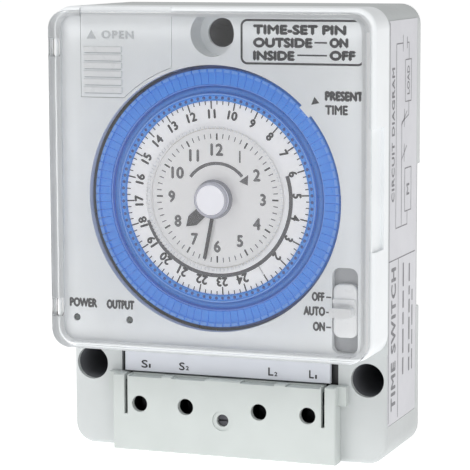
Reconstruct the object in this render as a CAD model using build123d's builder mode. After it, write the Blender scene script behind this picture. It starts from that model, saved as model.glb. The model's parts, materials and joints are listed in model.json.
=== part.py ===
"""Twenty-four hour time switch with a hinged clear cover, for a 35 mm rail or a wall.

Row frame: X to the right, Y into the depth (the dial faces -Y), Z up.
The origin is the centre of the footprint, on the plane of the lowest face.  Millimetres.
"""
import os
from math import acos, atan2, cos, degrees, hypot, pi, radians, sin, sqrt, tan

from build123d import *

# ---------------------------------------------------------------- housing
case_width = 82.0
case_height = 110.0
lower_depth = 27.4          # back face to the face round the terminals
upper_rise = 15.6           # from that face to the front of the clear cover
wall = 2.0
corner_radius = 5.0
front_edge_radius = 1.2
upper_bottom = 26.9         # underside of the raised upper block
running = 0.05              # radial clearance of a shaft in its bearing
seam = 0.1                  # gap between two mouldings that meet

rear_y = (lower_depth + upper_rise) / 2
face_y = rear_y - lower_depth
cover_front_y = face_y - upper_rise
half_width = case_width / 2
upper_height = case_height - upper_bottom
upper_mid_z = upper_bottom + upper_height / 2

# ---------------------------------------------------------------- clear cover
cover_skirt = 4.5
cover_side_gap = 0.9        # cover to the outside of the case, each side
cover_wall = 1.4
cover_front_wall = 1.2
cover_corner = 4.6
cover_edge_round = 0.7
hinge_inset = 0.9           # hinge axis from the case's left side
hinge_drop = 0.9            # hinge axis behind the ledge
hinge_pin_radius = 0.6
hinge_ear_radius = 0.85
hinge_ear_length = 4.0
hinge_pin_stub = 0.8
hinge_margin = 9.1          # hinge centre from each end of the cover
pull_length = 29.0
pull_drop = 0.5
pull_depth = 0.8
pull_back = 7.3

cover_width = case_width - 2 * cover_side_gap
cover_low_z = upper_bottom + seam
cover_high_z = case_height - cover_side_gap
skirt_y = cover_front_y + cover_skirt
ledge_y = skirt_y + seam
cover_height = cover_high_z - cover_low_z
cover_mid_z = (cover_high_z + cover_low_z) / 2
hinge_x = -half_width + hinge_inset
hinge_y = ledge_y + hinge_drop
hinge_levels = (cover_low_z + hinge_margin, cover_high_z - hinge_margin)

# ---------------------------------------------------------------- front panel
panel_recess = 0.5
panel_thickness = 2.0
panel_y = ledge_y + panel_recess
panel_back_y = panel_y + panel_thickness
panel_low_z = cover_low_z + cover_wall
panel_high_z = cover_high_z - cover_wall
panel_width = cover_width - 2 * cover_wall

# ---------------------------------------------------------------- dial
dial_x = 0.5
dial_z = 64.2
pointer_angle = 43.0        # present-time mark, from +X towards +Z
pointer_reach = 0.8
pointer_half_width = 1.6
quarter_hours = 96
quarter_angle = 360 / quarter_hours
pin_phase = 3.5             # a quarter-hour boundary at rest
ring_inner_radius = 23.45
ring_band_radius = 25.0
pin_inner_radius = 27.4
pin_outer_radius = 31.1
pin_gap = 0.16
pin_travel = 0.9            # a pin slides this far out to switch on
opening_gap = 0.1           # pulled-out pin to the opening's edge
pin_front_drop = 2.05       # behind the panel's face
pin_thickness = 2.4
pin_lug = 0.55
pin_lug_width = 0.9
dot_radius = 0.3
dot_circle = 24.25
dial_plate_inner = 16.95
clock_face_radius = 16.7
opening_radius = pin_outer_radius + pin_travel + opening_gap
pin_front_y = panel_y + pin_front_drop
pin_back_y = pin_front_y + pin_thickness
ring_floor_y = pin_back_y + running
ring_back_y = ring_floor_y + 1.5
band_front_y = pin_front_y + 0.35
dial_face_y = pin_front_y + 0.75
dial_plate_thickness = 0.8
dial_disc_y = dial_face_y + dial_plate_thickness
dial_disc_thickness = 1.2

# ---------------------------------------------------------------- hands and knob
knob_radius = 4.2
knob_rise = 4.6             # above the clock face
minute_disc_radius = 17.6
minute_disc_thickness = 1.0
minute_disc_rise = 1.0      # underside above the clock face
minute_hand_start = 5.0
minute_hand_end = 15.0
minute_hand_width = 0.9
minute_hand_angle = -101.3
hour_hand_end = 10.5
hour_hand_width = 2.6
hour_hand_angle = -137.8
hand_thickness = 0.3
knob_front_y = dial_face_y - knob_rise
disc_back_y = dial_face_y - minute_disc_rise
disc_front_y = disc_back_y - minute_disc_thickness
hour_hand_y = dial_face_y - 0.35

# ---------------------------------------------------------------- gear train
arbor_radius = 0.8
hour_pipe_outer = arbor_radius + running + 0.6
tube_inner = hour_pipe_outer + running
tube_outer = tube_inner + 0.6
hub_bore = tube_outer + running
hub_outer = hub_bore + 1.0
side_arbor_radius = 0.6
first_distance = 12.0       # centre distance, minute arbor to the first wheel
second_distance = 15.0      # centre distance, hour wheel to the second wheel
motor_distance = 12.0
minute_pinion_teeth = 12
first_wheel_teeth = 36
first_pinion_teeth = 10
hour_wheel_teeth = 40
hour_pinion_teeth = 24
second_wheel_teeth = 36
second_pinion_teeth = 27
dial_gear_teeth = 36
drive_wheel_teeth = 48
motor_pinion_teeth = 12
first_angle = 180.0
second_angle = 30.0
motor_angle = -90.0
backlash = 0.16
front_plate_y = face_y + 0.3
plate_thickness = 1.0
back_plate_y = face_y + 9.9
plate_size = 50.0
plate_corner = 4.0
post_offset = 20.5
pillar_radius = 2.2
post_radius = 3.0
dial_gear_y = front_plate_y - 2.8
gear_thickness = 1.5
hour_pinion_y = front_plate_y + 1.8
hour_wheel_y = hour_pinion_y + 1.6
first_wheel_y = hour_wheel_y + 1.8
drive_wheel_y = first_wheel_y + 2.2
motor_radius = 12.0
motor_depth = 10.0

# ---------------------------------------------------------------- wall fixing and rail
screw_hole_radius = 2.25
top_hole_x = 0.5
top_hole_z = case_height - 6.3
top_counterbore = 5.5
top_counterbore_depth = 6.6
top_bore = 3.5
side_hole_x = half_width - 5.0
side_hole_z = 20.5
side_bore = 4.15
side_tube_wall = 0.7
rail_low_z = 35.1
rail_width = 35.6
rail_depth = 2.0
rail_hook = 1.2
rail_hook_thickness = 0.9
rail_high_z = rail_low_z + rail_width

# ---------------------------------------------------------------- switch, lamps, battery
slot_x = half_width - 7.4
slot_z = 38.9
slot_width = 6.4
slot_length = 20.6
slot_corner = 2.0
slider_gap = 0.2
slider_length = 12.8
slider_rise = 3.4
switch_travel = 3.4
lamp_hole_radius = 0.9
lamp_radius = 1.5
power_lamp_x = 5.6 - half_width
output_lamp_x = power_lamp_x + 14.0
lamp_z = 33.8
door_left = 7.5 - half_width
door_right = -9.9
door_low_z = 88.1
door_thickness = 1.5
door_gap = 0.12
door_margin = 0.9           # web between the door and the dial opening
rib_count = 6
rib_width = 10.1
rib_height = 1.35
rib_pitch = 1.95
rib_rise = 0.4
rib_left = door_left + 0.7
rib_low_z = 89.2
battery_radius = 5.7
battery_length = 17.0
battery_z = case_height - 8.4
pocket_left = door_left + 1.1
pocket_right = door_right - 0.9
pocket_low_z = battery_z - 6.1
pocket_wall = 1.2
pocket_back_y = face_y + 3.5

# ---------------------------------------------------------------- terminals
bay_left = -28.0
bay_right = 28.7
bay_top_z = 24.5
bay_back_y = face_y + 21.4
bay_wall = 1.5
terminal_xs = (-21.5, -9.3, 9.8, 22.3)
terminal_z = 11.8
terminal_cover_left = -28.6
terminal_cover_right = 29.3
terminal_cover_top = 19.0
terminal_cover_rise = 4.5
terminal_cover_wall = 1.5
driver_hole_radius = 2.05
centre_screw_x = 0.3
centre_screw_z = 9.0
centre_hole_radius = 1.55
centre_ring_radius = 2.55
slit_width = 0.9
slit_low_z = 9.1
slit_xs = (-25.15, 26.2)
tab_width = 2.1
tab_height = 4.7
strip_left = -26.6
strip_right = 27.0
strip_low_z = 19.4
strip_rise = 1.4

block_y = face_y + 0.9
terminal_front_y = face_y - terminal_cover_rise

# ---------------------------------------------------------------- case screws
case_screw_x = half_width - 4.0
case_screw_zs = (54.5, case_height - 6.0)
case_screw_radius = 1.45
case_screw_head = 2.2
case_column_radius = 3.2
case_screw_seat_y = rear_y - 5.0

os.makedirs("parts", exist_ok=True)


def facing(y, x=0.0, z=0.0):
    """A plane that looks out of the front of the case, at depth y."""
    return Plane(origin=(x, y, z), x_dir=(1, 0, 0), z_dir=(0, -1, 0))


def dial_plane(y):
    """The same plane, centred on the dial's axis."""
    return facing(y, dial_x, dial_z)


def on_circle(distance, angle):
    """A point at an angle from +X about the dial's axis, as case X and Z."""
    return (dial_x + distance * cos(radians(angle)), dial_z + distance * sin(radians(angle)))


def save(part, name):
    part.label = name
    export_step(part, f"parts/{name}.step")


def solid_box(x0, x1, y0, y1, z0, z1, mode=Mode.ADD):
    """A block given by its six limits, in the builder that is open."""
    middle = ((x0 + x1) / 2, (y0 + y1) / 2, (z0 + z1) / 2)
    with Locations(middle):
        Box(x1 - x0, y1 - y0, z1 - z0, mode=mode)


def rod(x, z, y0, y1, radius, mode=Mode.ADD):
    """A round bar along Y from y0 to y1, in the builder that is open."""
    with Locations(Location(((x), (y0 + y1) / 2, z), (90, 0, 0))):
        Cylinder(radius, abs(y1 - y0), mode=mode)


def tooth_points(teeth, module, phase):
    """Corner points of an involute spur gear about the local origin."""
    pressure = radians(20)
    pitch_radius = teeth * module / 2
    base_radius = pitch_radius * cos(pressure)
    tip_radius = pitch_radius + 0.85 * module
    root_radius = pitch_radius - 1.2 * module
    flank_start = max(base_radius, root_radius + 0.05 * module)
    half_at_pitch = pi / (2 * teeth) - backlash / (4 * pitch_radius)
    involute_at_pitch = tan(pressure) - pressure
    flank = []
    for step in range(4):
        radius = flank_start + (tip_radius - flank_start) * step / 3
        angle = acos(min(1.0, base_radius / radius))
        flank.append((radius, half_at_pitch + involute_at_pitch - (tan(angle) - angle)))
    flank.insert(0, (root_radius, flank[0][1]))
    points = []
    for tooth in range(teeth):
        middle = radians(phase) + 2 * pi * tooth / teeth
        for radius, half in flank:
            points.append((radius * cos(middle - half), radius * sin(middle - half)))
        for radius, half in reversed(flank):
            points.append((radius * cos(middle + half), radius * sin(middle + half)))
    return points


def gear(plane, thickness, teeth, module, phase):
    """A spur gear in the builder that is open, from the plane towards the front."""
    with BuildSketch(plane) as outline:
        with BuildLine():
            Polyline(*tooth_points(teeth, module, phase), close=True)
        make_face()
    extrude(outline.sketch, amount=thickness)


# meshing pairs share a module that gives their centre distance
minute_module = 2 * first_distance / (minute_pinion_teeth + first_wheel_teeth)
hour_module = 2 * first_distance / (first_pinion_teeth + hour_wheel_teeth)
second_module = 2 * second_distance / (hour_pinion_teeth + second_wheel_teeth)
dial_module = 2 * second_distance / (second_pinion_teeth + dial_gear_teeth)
motor_module = 2 * motor_distance / (drive_wheel_teeth + motor_pinion_teeth)
first_x, first_z = on_circle(first_distance, first_angle)
second_x, second_z = on_circle(second_distance, second_angle)
motor_x, motor_z = on_circle(motor_distance, motor_angle)
post_places = []
for side in (-1, 1):
    for level in (-1, 1):
        post_places.append((dial_x + side * post_offset, dial_z + level * post_offset))
case_screw_places = []
for side in (-1, 1):
    for level in case_screw_zs:
        case_screw_places.append((side * case_screw_x, level))


# ================================================================ rear base
inner_y = rear_y - wall
channel_floor_y = rear_y - rail_depth
channel_inner_y = channel_floor_y - wall
latch_half = 7.8
latch_neck_half = 6.6
latch_top_z = rail_low_z - seam
latch_low_z = 7.0
latch_front_y = rear_y - 2.1
latch_neck_y = rear_y - 0.9
latch_recess_low = 4.0
latch_gap = 0.15
label_bed = 0.15
label_front_y = face_y + 0.5
label_back_y = rear_y - 2.7
label_low_z = 9.3
label_high_z = case_height - 3.3
with BuildPart() as rear_base:
    with BuildSketch(facing(rear_y)):
        with Locations((0, case_height / 2)):
            RectangleRounded(case_width, case_height, corner_radius)
    extrude(amount=lower_depth - front_edge_radius)
    # the lower front face, with its rounded edge
    with BuildSketch(facing(face_y + front_edge_radius)):
        with Locations((0, case_height / 2)):
            RectangleRounded(case_width, case_height, corner_radius)
        with Locations((0, upper_bottom + case_height / 2)):
            Rectangle(2 * case_width, case_height, mode=Mode.SUBTRACT)
    extrude(amount=front_edge_radius)
    front_edges = rear_base.edges().group_by(Axis.Y)[0].filter_by(lambda e: e.center().Z < upper_bottom - 0.1)
    fillet(front_edges, front_edge_radius - 0.1)
    with BuildSketch(facing(face_y + front_edge_radius)):
        with Locations((0, case_height / 2)):
            RectangleRounded(case_width, case_height, corner_radius)
        with Locations((0, upper_bottom - case_height / 2)):
            Rectangle(2 * case_width, case_height, mode=Mode.SUBTRACT)
    extrude(amount=front_edge_radius)
    # hollow: one chamber, open to the front only above the terminal face
    with BuildSketch(facing(inner_y)):
        with Locations((0, case_height / 2)):
            RectangleRounded(case_width - 2 * wall, case_height - 2 * wall, corner_radius - wall)
    extrude(amount=inner_y - face_y - wall, mode=Mode.SUBTRACT)
    with BuildSketch(facing(face_y + wall + 1)):
        with Locations((0, upper_mid_z)):
            RectangleRounded(case_width - 2 * wall, upper_height - 2 * wall, corner_radius - wall)
    extrude(amount=wall + 2, mode=Mode.SUBTRACT)
    # the rear wall steps in behind the rail channel
    solid_box(-half_width + wall / 2, half_width - wall / 2, channel_inner_y, inner_y + wall / 2,
              rail_low_z - wall, rail_high_z + wall)
    solid_box(-latch_half - wall, latch_half + wall, channel_inner_y, inner_y + wall / 2,
              latch_recess_low - wall, rail_low_z)
    # terminal bay
    solid_box(bay_left - bay_wall, bay_right + bay_wall, face_y + wall / 2, bay_back_y + bay_wall,
              wall / 2, bay_top_z + bay_wall)
    # columns for the wall screws, the case screws and the movement
    for side in (-1, 1):
        rod(side * side_hole_x, side_hole_z, face_y + wall / 2, inner_y + wall / 2, side_bore + side_tube_wall)
    rod(top_hole_x, top_hole_z, face_y, inner_y + wall / 2, top_bore + 1.5)
    for x, z in case_screw_places:
        rod(x, z, face_y, inner_y + wall / 2, case_column_radius)
    for x, z in post_places:
        rod(x, z, back_plate_y + plate_thickness, inner_y, post_radius)
    # cuts from the front
    solid_box(bay_left, bay_right, face_y - 1, bay_back_y, -1, bay_top_z, mode=Mode.SUBTRACT)
    for side in (-1, 1):
        rod(side * side_hole_x, side_hole_z, face_y - 1, inner_y, side_bore, mode=Mode.SUBTRACT)
        rod(side * side_hole_x, side_hole_z, face_y, rear_y + 1, screw_hole_radius, mode=Mode.SUBTRACT)
    rod(top_hole_x, top_hole_z, face_y - 1, inner_y, top_bore, mode=Mode.SUBTRACT)
    rod(top_hole_x, top_hole_z, face_y, rear_y + 1, screw_hole_radius, mode=Mode.SUBTRACT)
    # cuts from the back
    solid_box(-half_width - 1, half_width + 1, channel_floor_y, rear_y + 1, rail_low_z, rail_high_z,
              mode=Mode.SUBTRACT)
    for x, z in case_screw_places:
        rod(x, z, face_y - 1, rear_y, case_screw_radius + 0.15, mode=Mode.SUBTRACT)
        rod(x, z, case_screw_seat_y, rear_y + 1, case_screw_head + 0.2, mode=Mode.SUBTRACT)
    for x, z in post_places:
        rod(x, z, back_plate_y, back_plate_y + 9, 1.15, mode=Mode.SUBTRACT)
    solid_box(-latch_half - latch_gap, latch_half + latch_gap, latch_front_y - latch_gap,
              latch_neck_y + latch_gap, latch_recess_low, rail_low_z + 1, mode=Mode.SUBTRACT)
    solid_box(-latch_neck_half - latch_gap, latch_neck_half + latch_gap, latch_front_y,
              rear_y + 1, latch_recess_low, rail_low_z + 1, mode=Mode.SUBTRACT)
    # slots where the contact strips leave the terminal bay
    for x in terminal_xs:
        solid_box(x - 3, x + 3, block_y + 10.2, block_y + 12.0, bay_top_z - 1, bay_top_z + bay_wall + 1,
                  mode=Mode.SUBTRACT)
    # fixed hook over the rail's upper edge
    solid_box(-12, 12, rear_y - rail_hook_thickness, rear_y, rail_high_z - rail_hook, rail_high_z)
    # shallow bed for the rating label
    solid_box(half_width - label_bed, half_width + 1, label_front_y, label_back_y, label_low_z,
              label_high_z, mode=Mode.SUBTRACT)
save(rear_base.part, "rear_base")

with BuildPart() as rating_label:
    solid_box(half_width - label_bed + 0.01, half_width - 0.02, label_front_y + seam, label_back_y - seam,
              label_low_z + seam, label_high_z - seam)
save(rating_label.part, "rating_label")

with BuildPart() as din_latch:
    solid_box(-latch_half, latch_half, latch_front_y, latch_neck_y, 12.0, latch_top_z)
    solid_box(-latch_neck_half, latch_neck_half, latch_neck_y - 0.4, rear_y - seam, latch_low_z,
              rail_low_z + rail_hook)
    # driver slot in the tab, and the cut-outs that leave two spring arms
    solid_box(-2.2, 2.2, latch_front_y - 1, rear_y + 1, latch_low_z + 1.6, latch_low_z + 3.2,
              mode=Mode.SUBTRACT)
    for side in (-1, 1):
        with BuildSketch(facing(rear_y + 1)):
            with Locations((side * 4.4, 21.0)):
                SlotOverall(12.0, 1.6, rotation=90)
        extrude(amount=6, mode=Mode.SUBTRACT)
save(din_latch.part, "din_latch")

with BuildPart() as case_screws:
    for x, z in case_screw_places:
        rod(x, z, ledge_y + 4.5, case_screw_seat_y, case_screw_radius)
        rod(x, z, case_screw_seat_y, case_screw_seat_y + 1.9, case_screw_head)
        solid_box(x - 1.5, x + 1.5, case_screw_seat_y + 1.0, case_screw_seat_y + 3, z - 0.3, z + 0.3,
                  mode=Mode.SUBTRACT)
        solid_box(x - 0.3, x + 0.3, case_screw_seat_y + 1.0, case_screw_seat_y + 3, z - 1.5, z + 1.5,
                  mode=Mode.SUBTRACT)
save(case_screws.part, "case_screws")


# ================================================================ front case
arc_radius = opening_radius + door_margin


def door_slab(back_y, thickness, grow, top_z, mode=Mode.ADD):
    """A slab of the battery door's outline: square, with one corner cut round the dial."""
    radius = arc_radius - grow
    left = door_left - grow
    right = door_right + grow
    low = door_low_z - grow
    corner_x = dial_x - sqrt(radius ** 2 - (low - dial_z) ** 2)
    end_z = dial_z + sqrt(radius ** 2 - (right - dial_x) ** 2)
    middle_angle = (atan2(low - dial_z, corner_x - dial_x) + atan2(end_z - dial_z, right - dial_x)) / 2
    middle = (dial_x + radius * cos(middle_angle), dial_z + radius * sin(middle_angle))
    with BuildSketch(facing(back_y)) as outline:
        with BuildLine():
            Polyline((corner_x, low), (left, low), (left, top_z), (right, top_z), (right, end_z))
            ThreePointArc((right, end_z), middle, (corner_x, low))
        make_face()
    extrude(outline.sketch, amount=thickness, mode=mode)


door_y = panel_y + door_thickness
with BuildPart() as front_case:
    with BuildSketch(facing(face_y)):
        with Locations((0, upper_mid_z)):
            RectangleRounded(case_width, upper_height, corner_radius)
    extrude(amount=face_y - ledge_y)
    fillet(front_case.edges().group_by(Axis.Y)[0], 1.4)
    with BuildSketch(facing(face_y)):
        with Locations((0, upper_mid_z)):
            RectangleRounded(case_width - 2 * wall, upper_height - 2 * wall, corner_radius - wall)
    extrude(amount=face_y - panel_back_y, mode=Mode.SUBTRACT)
    with BuildSketch(facing(panel_y)):
        with Locations((0, (panel_low_z + panel_high_z) / 2)):
            RectangleRounded(panel_width, panel_high_z - panel_low_z, cover_corner - cover_wall)
    extrude(amount=panel_recess + 1, mode=Mode.SUBTRACT)
    # battery pocket, screw bosses and the tube of the upper wall screw
    solid_box(pocket_left - pocket_wall, pocket_right + pocket_wall, panel_back_y - 0.3,
              pocket_back_y + pocket_wall, pocket_low_z - pocket_wall, case_height - wall)
    for x, z in case_screw_places:
        rod(x, z, panel_back_y - 0.3, face_y, 2.6)
    rod(top_hole_x, top_hole_z, panel_back_y - 0.3, face_y, top_counterbore + 1.2)
    with BuildSketch(facing(face_y)):
        with Locations((0, upper_mid_z)):
            RectangleRounded(case_width + 10, upper_height + 20, corner_radius)
            RectangleRounded(case_width, upper_height, corner_radius, mode=Mode.SUBTRACT)
    extrude(amount=10, mode=Mode.SUBTRACT)
    # pulled-out pins pass behind the pointer and clear of the pocket's block
    rod(dial_x, dial_z, pin_front_y - pin_lug - 0.15, face_y + 1, opening_radius - running, mode=Mode.SUBTRACT)
    # dial opening with the present-time pointer left standing
    with BuildSketch(dial_plane(panel_back_y + 1)):
        Circle(opening_radius)
        with Locations(Location((0, 0, 0), (0, 0, pointer_angle))):
            with Locations((opening_radius, 0)):
                Rectangle(2 * pointer_reach, 2 * pointer_half_width, mode=Mode.SUBTRACT)
    extrude(amount=panel_thickness + 3, mode=Mode.SUBTRACT)
    # switch slot and lamp windows
    with BuildSketch(facing(panel_back_y + 1)):
        with Locations((slot_x, slot_z)):
            RectangleRounded(slot_width, slot_length, slot_corner)
        with Locations((power_lamp_x, lamp_z), (output_lamp_x, lamp_z)):
            Circle(lamp_hole_radius)
    extrude(amount=panel_thickness + 3, mode=Mode.SUBTRACT)
    # battery door bed, open at the top, and the battery chamber
    door_slab(door_y + seam, door_thickness + panel_recess + 3, door_gap, case_height + 5, Mode.SUBTRACT)
    solid_box(pocket_left, pocket_right, door_y - 0.5, pocket_back_y, pocket_low_z,
              panel_high_z - 0.3, mode=Mode.SUBTRACT)
    # upper wall screw: wide counterbore, then the bore
    with BuildSketch(facing(panel_y + top_counterbore_depth)):
        with Locations((top_hole_x, top_hole_z)):
            Circle(top_counterbore)
        with Locations((top_hole_x, panel_high_z + 10)):
            Rectangle(40, 20, mode=Mode.SUBTRACT)
    extrude(amount=top_counterbore_depth + panel_recess + 1, mode=Mode.SUBTRACT)
    rod(top_hole_x, top_hole_z, panel_y + 1, face_y + 1, top_bore, mode=Mode.SUBTRACT)
    # case screw pilots
    for x, z in case_screw_places:
        rod(x, z, ledge_y + 4.0, face_y + 1, case_screw_radius, mode=Mode.SUBTRACT)
    # hinge pockets on the left, finger pull on the right
    for z in hinge_levels:
        half = hinge_ear_length / 2 + 0.3
        solid_box(-half_width - 1, hinge_x + hinge_ear_radius + 0.5, ledge_y - 1,
                  hinge_y + hinge_ear_radius + 0.3, z - half, z + half, mode=Mode.SUBTRACT)
        pin_half = half + hinge_pin_stub
        with Locations((hinge_x, hinge_y, z)):
            Cylinder(hinge_pin_radius + running, 2 * pin_half, mode=Mode.SUBTRACT)
    pull_z = cover_mid_z - pull_drop
    solid_box(half_width - pull_depth, half_width + 1, ledge_y - 1, ledge_y + pull_back,
              pull_z - pull_length / 2, pull_z + pull_length / 2, mode=Mode.SUBTRACT)
save(front_case.part, "front_case")


# ================================================================ clear cover
with BuildPart() as clear_cover:
    with BuildSketch(facing(skirt_y)):
        with Locations((0, cover_mid_z)):
            RectangleRounded(cover_width, cover_height, cover_corner)
    extrude(amount=cover_skirt)
    fillet(clear_cover.edges().group_by(Axis.Y)[0], cover_edge_round)
    with BuildSketch(facing(skirt_y)):
        with Locations((0, cover_mid_z)):
            RectangleRounded(cover_width - 2 * cover_wall, cover_height - 2 * cover_wall,
                             cover_corner - cover_wall)
    extrude(amount=cover_skirt - cover_front_wall, mode=Mode.SUBTRACT)
    # hinge ears and their pins
    for z in hinge_levels:
        with Locations((hinge_x, hinge_y, z)):
            Cylinder(hinge_ear_radius, hinge_ear_length)
            Cylinder(hinge_pin_radius, hinge_ear_length + 2 * hinge_pin_stub)
        solid_box(hinge_x - hinge_ear_radius + 0.1, hinge_x + hinge_ear_radius, skirt_y - 0.4, hinge_y,
                  z - hinge_ear_length / 2, z + hinge_ear_length / 2)
save(clear_cover.part, "clear_cover")


# ================================================================ battery and its door
with BuildPart() as battery_door:
    door_slab(door_y, door_thickness, 0, case_height - seam)
    for index in range(rib_count):
        low = rib_low_z + index * rib_pitch
        right = min(rib_left + rib_width, door_right - 0.5)
        solid_box(rib_left, right, panel_y - rib_rise, panel_y + 0.5, low, low + rib_height)
save(battery_door.part, "battery_door")

battery_x = (pocket_left + pocket_right) / 2
with BuildPart() as battery:
    with Locations(Location((battery_x, door_y + 0.4 + battery_radius, battery_z), (0, 90, 0))):
        Cylinder(battery_radius, battery_length)
        Cylinder(3.0, battery_length + 1.0)
    chamfer(battery.edges().group_by(Axis.X)[0] + battery.edges().group_by(Axis.X)[-1], 0.2)
save(battery.part, "battery")

with BuildPart() as battery_contacts:
    for side in (-1, 1):
        outer = battery_x + side * (battery_length / 2 + 1.9)
        inner = outer - side * 0.4
        solid_box(min(outer, inner), max(outer, inner), door_y + 1.5, pocket_back_y - 1.0,
                  battery_z - 4.0, battery_z + 4.0)
        button = outer - side * 0.9
        with Locations(Location(((inner + button) / 2, door_y + 0.4 + battery_radius, battery_z), (0, 90, 0))):
            Cylinder(1.5, abs(inner - button))
save(battery_contacts.part, "battery_contacts")


# ================================================================ terminals
cavity_half = 4.2
entry_half = 3.2
clamp_y = block_y + 5.0      # front of the clamps
with BuildPart() as terminal_block:
    solid_box(bay_left + 0.2, bay_right - 0.2, block_y, bay_back_y - 0.2, 1.0, bay_top_z - 0.2)
    for x in terminal_xs:
        solid_box(x - cavity_half, x + cavity_half, block_y - 1, clamp_y + 9.0, 7.8, 16.4, mode=Mode.SUBTRACT)
        solid_box(x - entry_half, x + entry_half, clamp_y - 0.6, clamp_y + 6.6, 0, 8.5, mode=Mode.SUBTRACT)
        solid_box(x - 2.8, x + 2.8, clamp_y + 5.4, clamp_y + 6.8, 15, bay_top_z + 1, mode=Mode.SUBTRACT)
    rod(centre_screw_x, centre_screw_z, block_y - 1, block_y + 8, 1.3, mode=Mode.SUBTRACT)
    # grooves between neighbouring terminals
    for x in (-15.4, centre_screw_x - 5.0, centre_screw_x + 5.0, 16.05):
        solid_box(x - 0.6, x + 0.6, block_y - 1, block_y + 3.0, 1.0 - 1, bay_top_z - 3, mode=Mode.SUBTRACT)
save(terminal_block.part, "terminal_block")

for number, x in enumerate(terminal_xs, start=1):
    with BuildPart() as terminal_clamp:
        solid_box(x - 3.6, x + 3.6, clamp_y, clamp_y + 7.4, 8.0, 15.6)
        solid_box(x - 2.7, x + 2.7, clamp_y + 2.2, clamp_y + 6.5, 7.0, 16.6, mode=Mode.SUBTRACT)
        rod(x, terminal_z, clamp_y - 1.0, clamp_y + 3.0, 1.35, mode=Mode.SUBTRACT)
    save(terminal_clamp.part, f"terminal_clamp_{number}")
    with BuildPart() as terminal_screw:
        rod(x, terminal_z, clamp_y - 3.2, clamp_y + 3.6, 1.3)
        rod(x, terminal_z, clamp_y - 3.2, clamp_y - 1.0, 2.3)
        solid_box(x - 3, x + 3, clamp_y - 4.0, clamp_y - 2.2, terminal_z - 0.3, terminal_z + 0.3,
                  mode=Mode.SUBTRACT)
    save(terminal_screw.part, f"terminal_screw_{number}")

with BuildPart() as contact_strips:
    for x in terminal_xs:
        solid_box(x - 2.5, x + 2.5, clamp_y + 5.7, clamp_y + 6.3, 8.2, 31.0)
save(contact_strips.part, "contact_strips")

with BuildPart() as terminal_cover:
    back_y = face_y - seam
    solid_box(terminal_cover_left, terminal_cover_right, terminal_front_y, back_y, 0, terminal_cover_top)
    chamfer(terminal_cover.edges().group_by(Axis.Y)[0], 0.3)
    solid_box(terminal_cover_left + terminal_cover_wall, terminal_cover_right - terminal_cover_wall,
              terminal_front_y + terminal_cover_wall, back_y + 1, terminal_cover_wall,
              terminal_cover_top - terminal_cover_wall, mode=Mode.SUBTRACT)
    # screwdriver holes and the middle fixing
    for x in terminal_xs:
        rod(x, terminal_z, terminal_front_y - 1, terminal_front_y + 3, driver_hole_radius, mode=Mode.SUBTRACT)
    rod(centre_screw_x, centre_screw_z, terminal_front_y + 0.5, block_y - 0.2, centre_ring_radius + 1.0)
    rod(centre_screw_x, centre_screw_z, terminal_front_y - 1, terminal_front_y + 0.35, centre_ring_radius,
        mode=Mode.SUBTRACT)
    rod(centre_screw_x, centre_screw_z, terminal_front_y - 1, block_y + 1, centre_hole_radius,
        mode=Mode.SUBTRACT)
    # slits that free the two side grips
    for x in slit_xs:
        solid_box(x - slit_width / 2, x + slit_width / 2, terminal_front_y - 1, back_y + 1,
                  slit_low_z, terminal_cover_top + 1, mode=Mode.SUBTRACT)
    # vents along the top edge
    for x in (-20.0, -8.6, 9.4, 21.0):
        solid_box(x - 4.4, x + 4.4, terminal_front_y - 1, terminal_front_y + 3.4,
                  terminal_cover_top - 0.45, terminal_cover_top + 1, mode=Mode.SUBTRACT)
    solid_box(terminal_cover_left - tab_width, terminal_cover_left + 0.5, terminal_front_y + 2.2,
              back_y, terminal_cover_top - tab_height, terminal_cover_top)
    solid_box(terminal_cover_right - 0.5, terminal_cover_right + tab_width, terminal_front_y + 2.2,
              back_y, terminal_cover_top - tab_height, terminal_cover_top)
save(terminal_cover.part, "terminal_cover")

with BuildPart() as terminal_cover_screw:
    rod(centre_screw_x, centre_screw_z, terminal_front_y + 3.0, block_y + 6.0, 1.25)
    rod(centre_screw_x, centre_screw_z, terminal_front_y + 1.2, terminal_front_y + 3.0, centre_hole_radius - 0.05)
    solid_box(centre_screw_x - 2, centre_screw_x + 2, terminal_front_y, terminal_front_y + 1.9,
              centre_screw_z - 0.25, centre_screw_z + 0.25, mode=Mode.SUBTRACT)
save(terminal_cover_screw.part, "terminal_cover_screw")

with BuildPart() as terminal_label:
    solid_box(strip_left, strip_right, face_y - strip_rise, face_y, strip_low_z, upper_bottom - 0.2)
    chamfer(terminal_label.edges().group_by(Axis.Y)[0], 0.2)
save(terminal_label.part, "terminal_label")


# ================================================================ movement frame
def plate(y, holes):
    """One square plate of the movement, in the builder that is open."""
    with BuildSketch(dial_plane(y + plate_thickness)) as outline:
        RectangleRounded(plate_size, plate_size, plate_corner)
    extrude(outline.sketch, amount=plate_thickness)
    for x, z, radius in holes:
        rod(x, z, y - 1, y + plate_thickness + 1, radius, mode=Mode.SUBTRACT)


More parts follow.
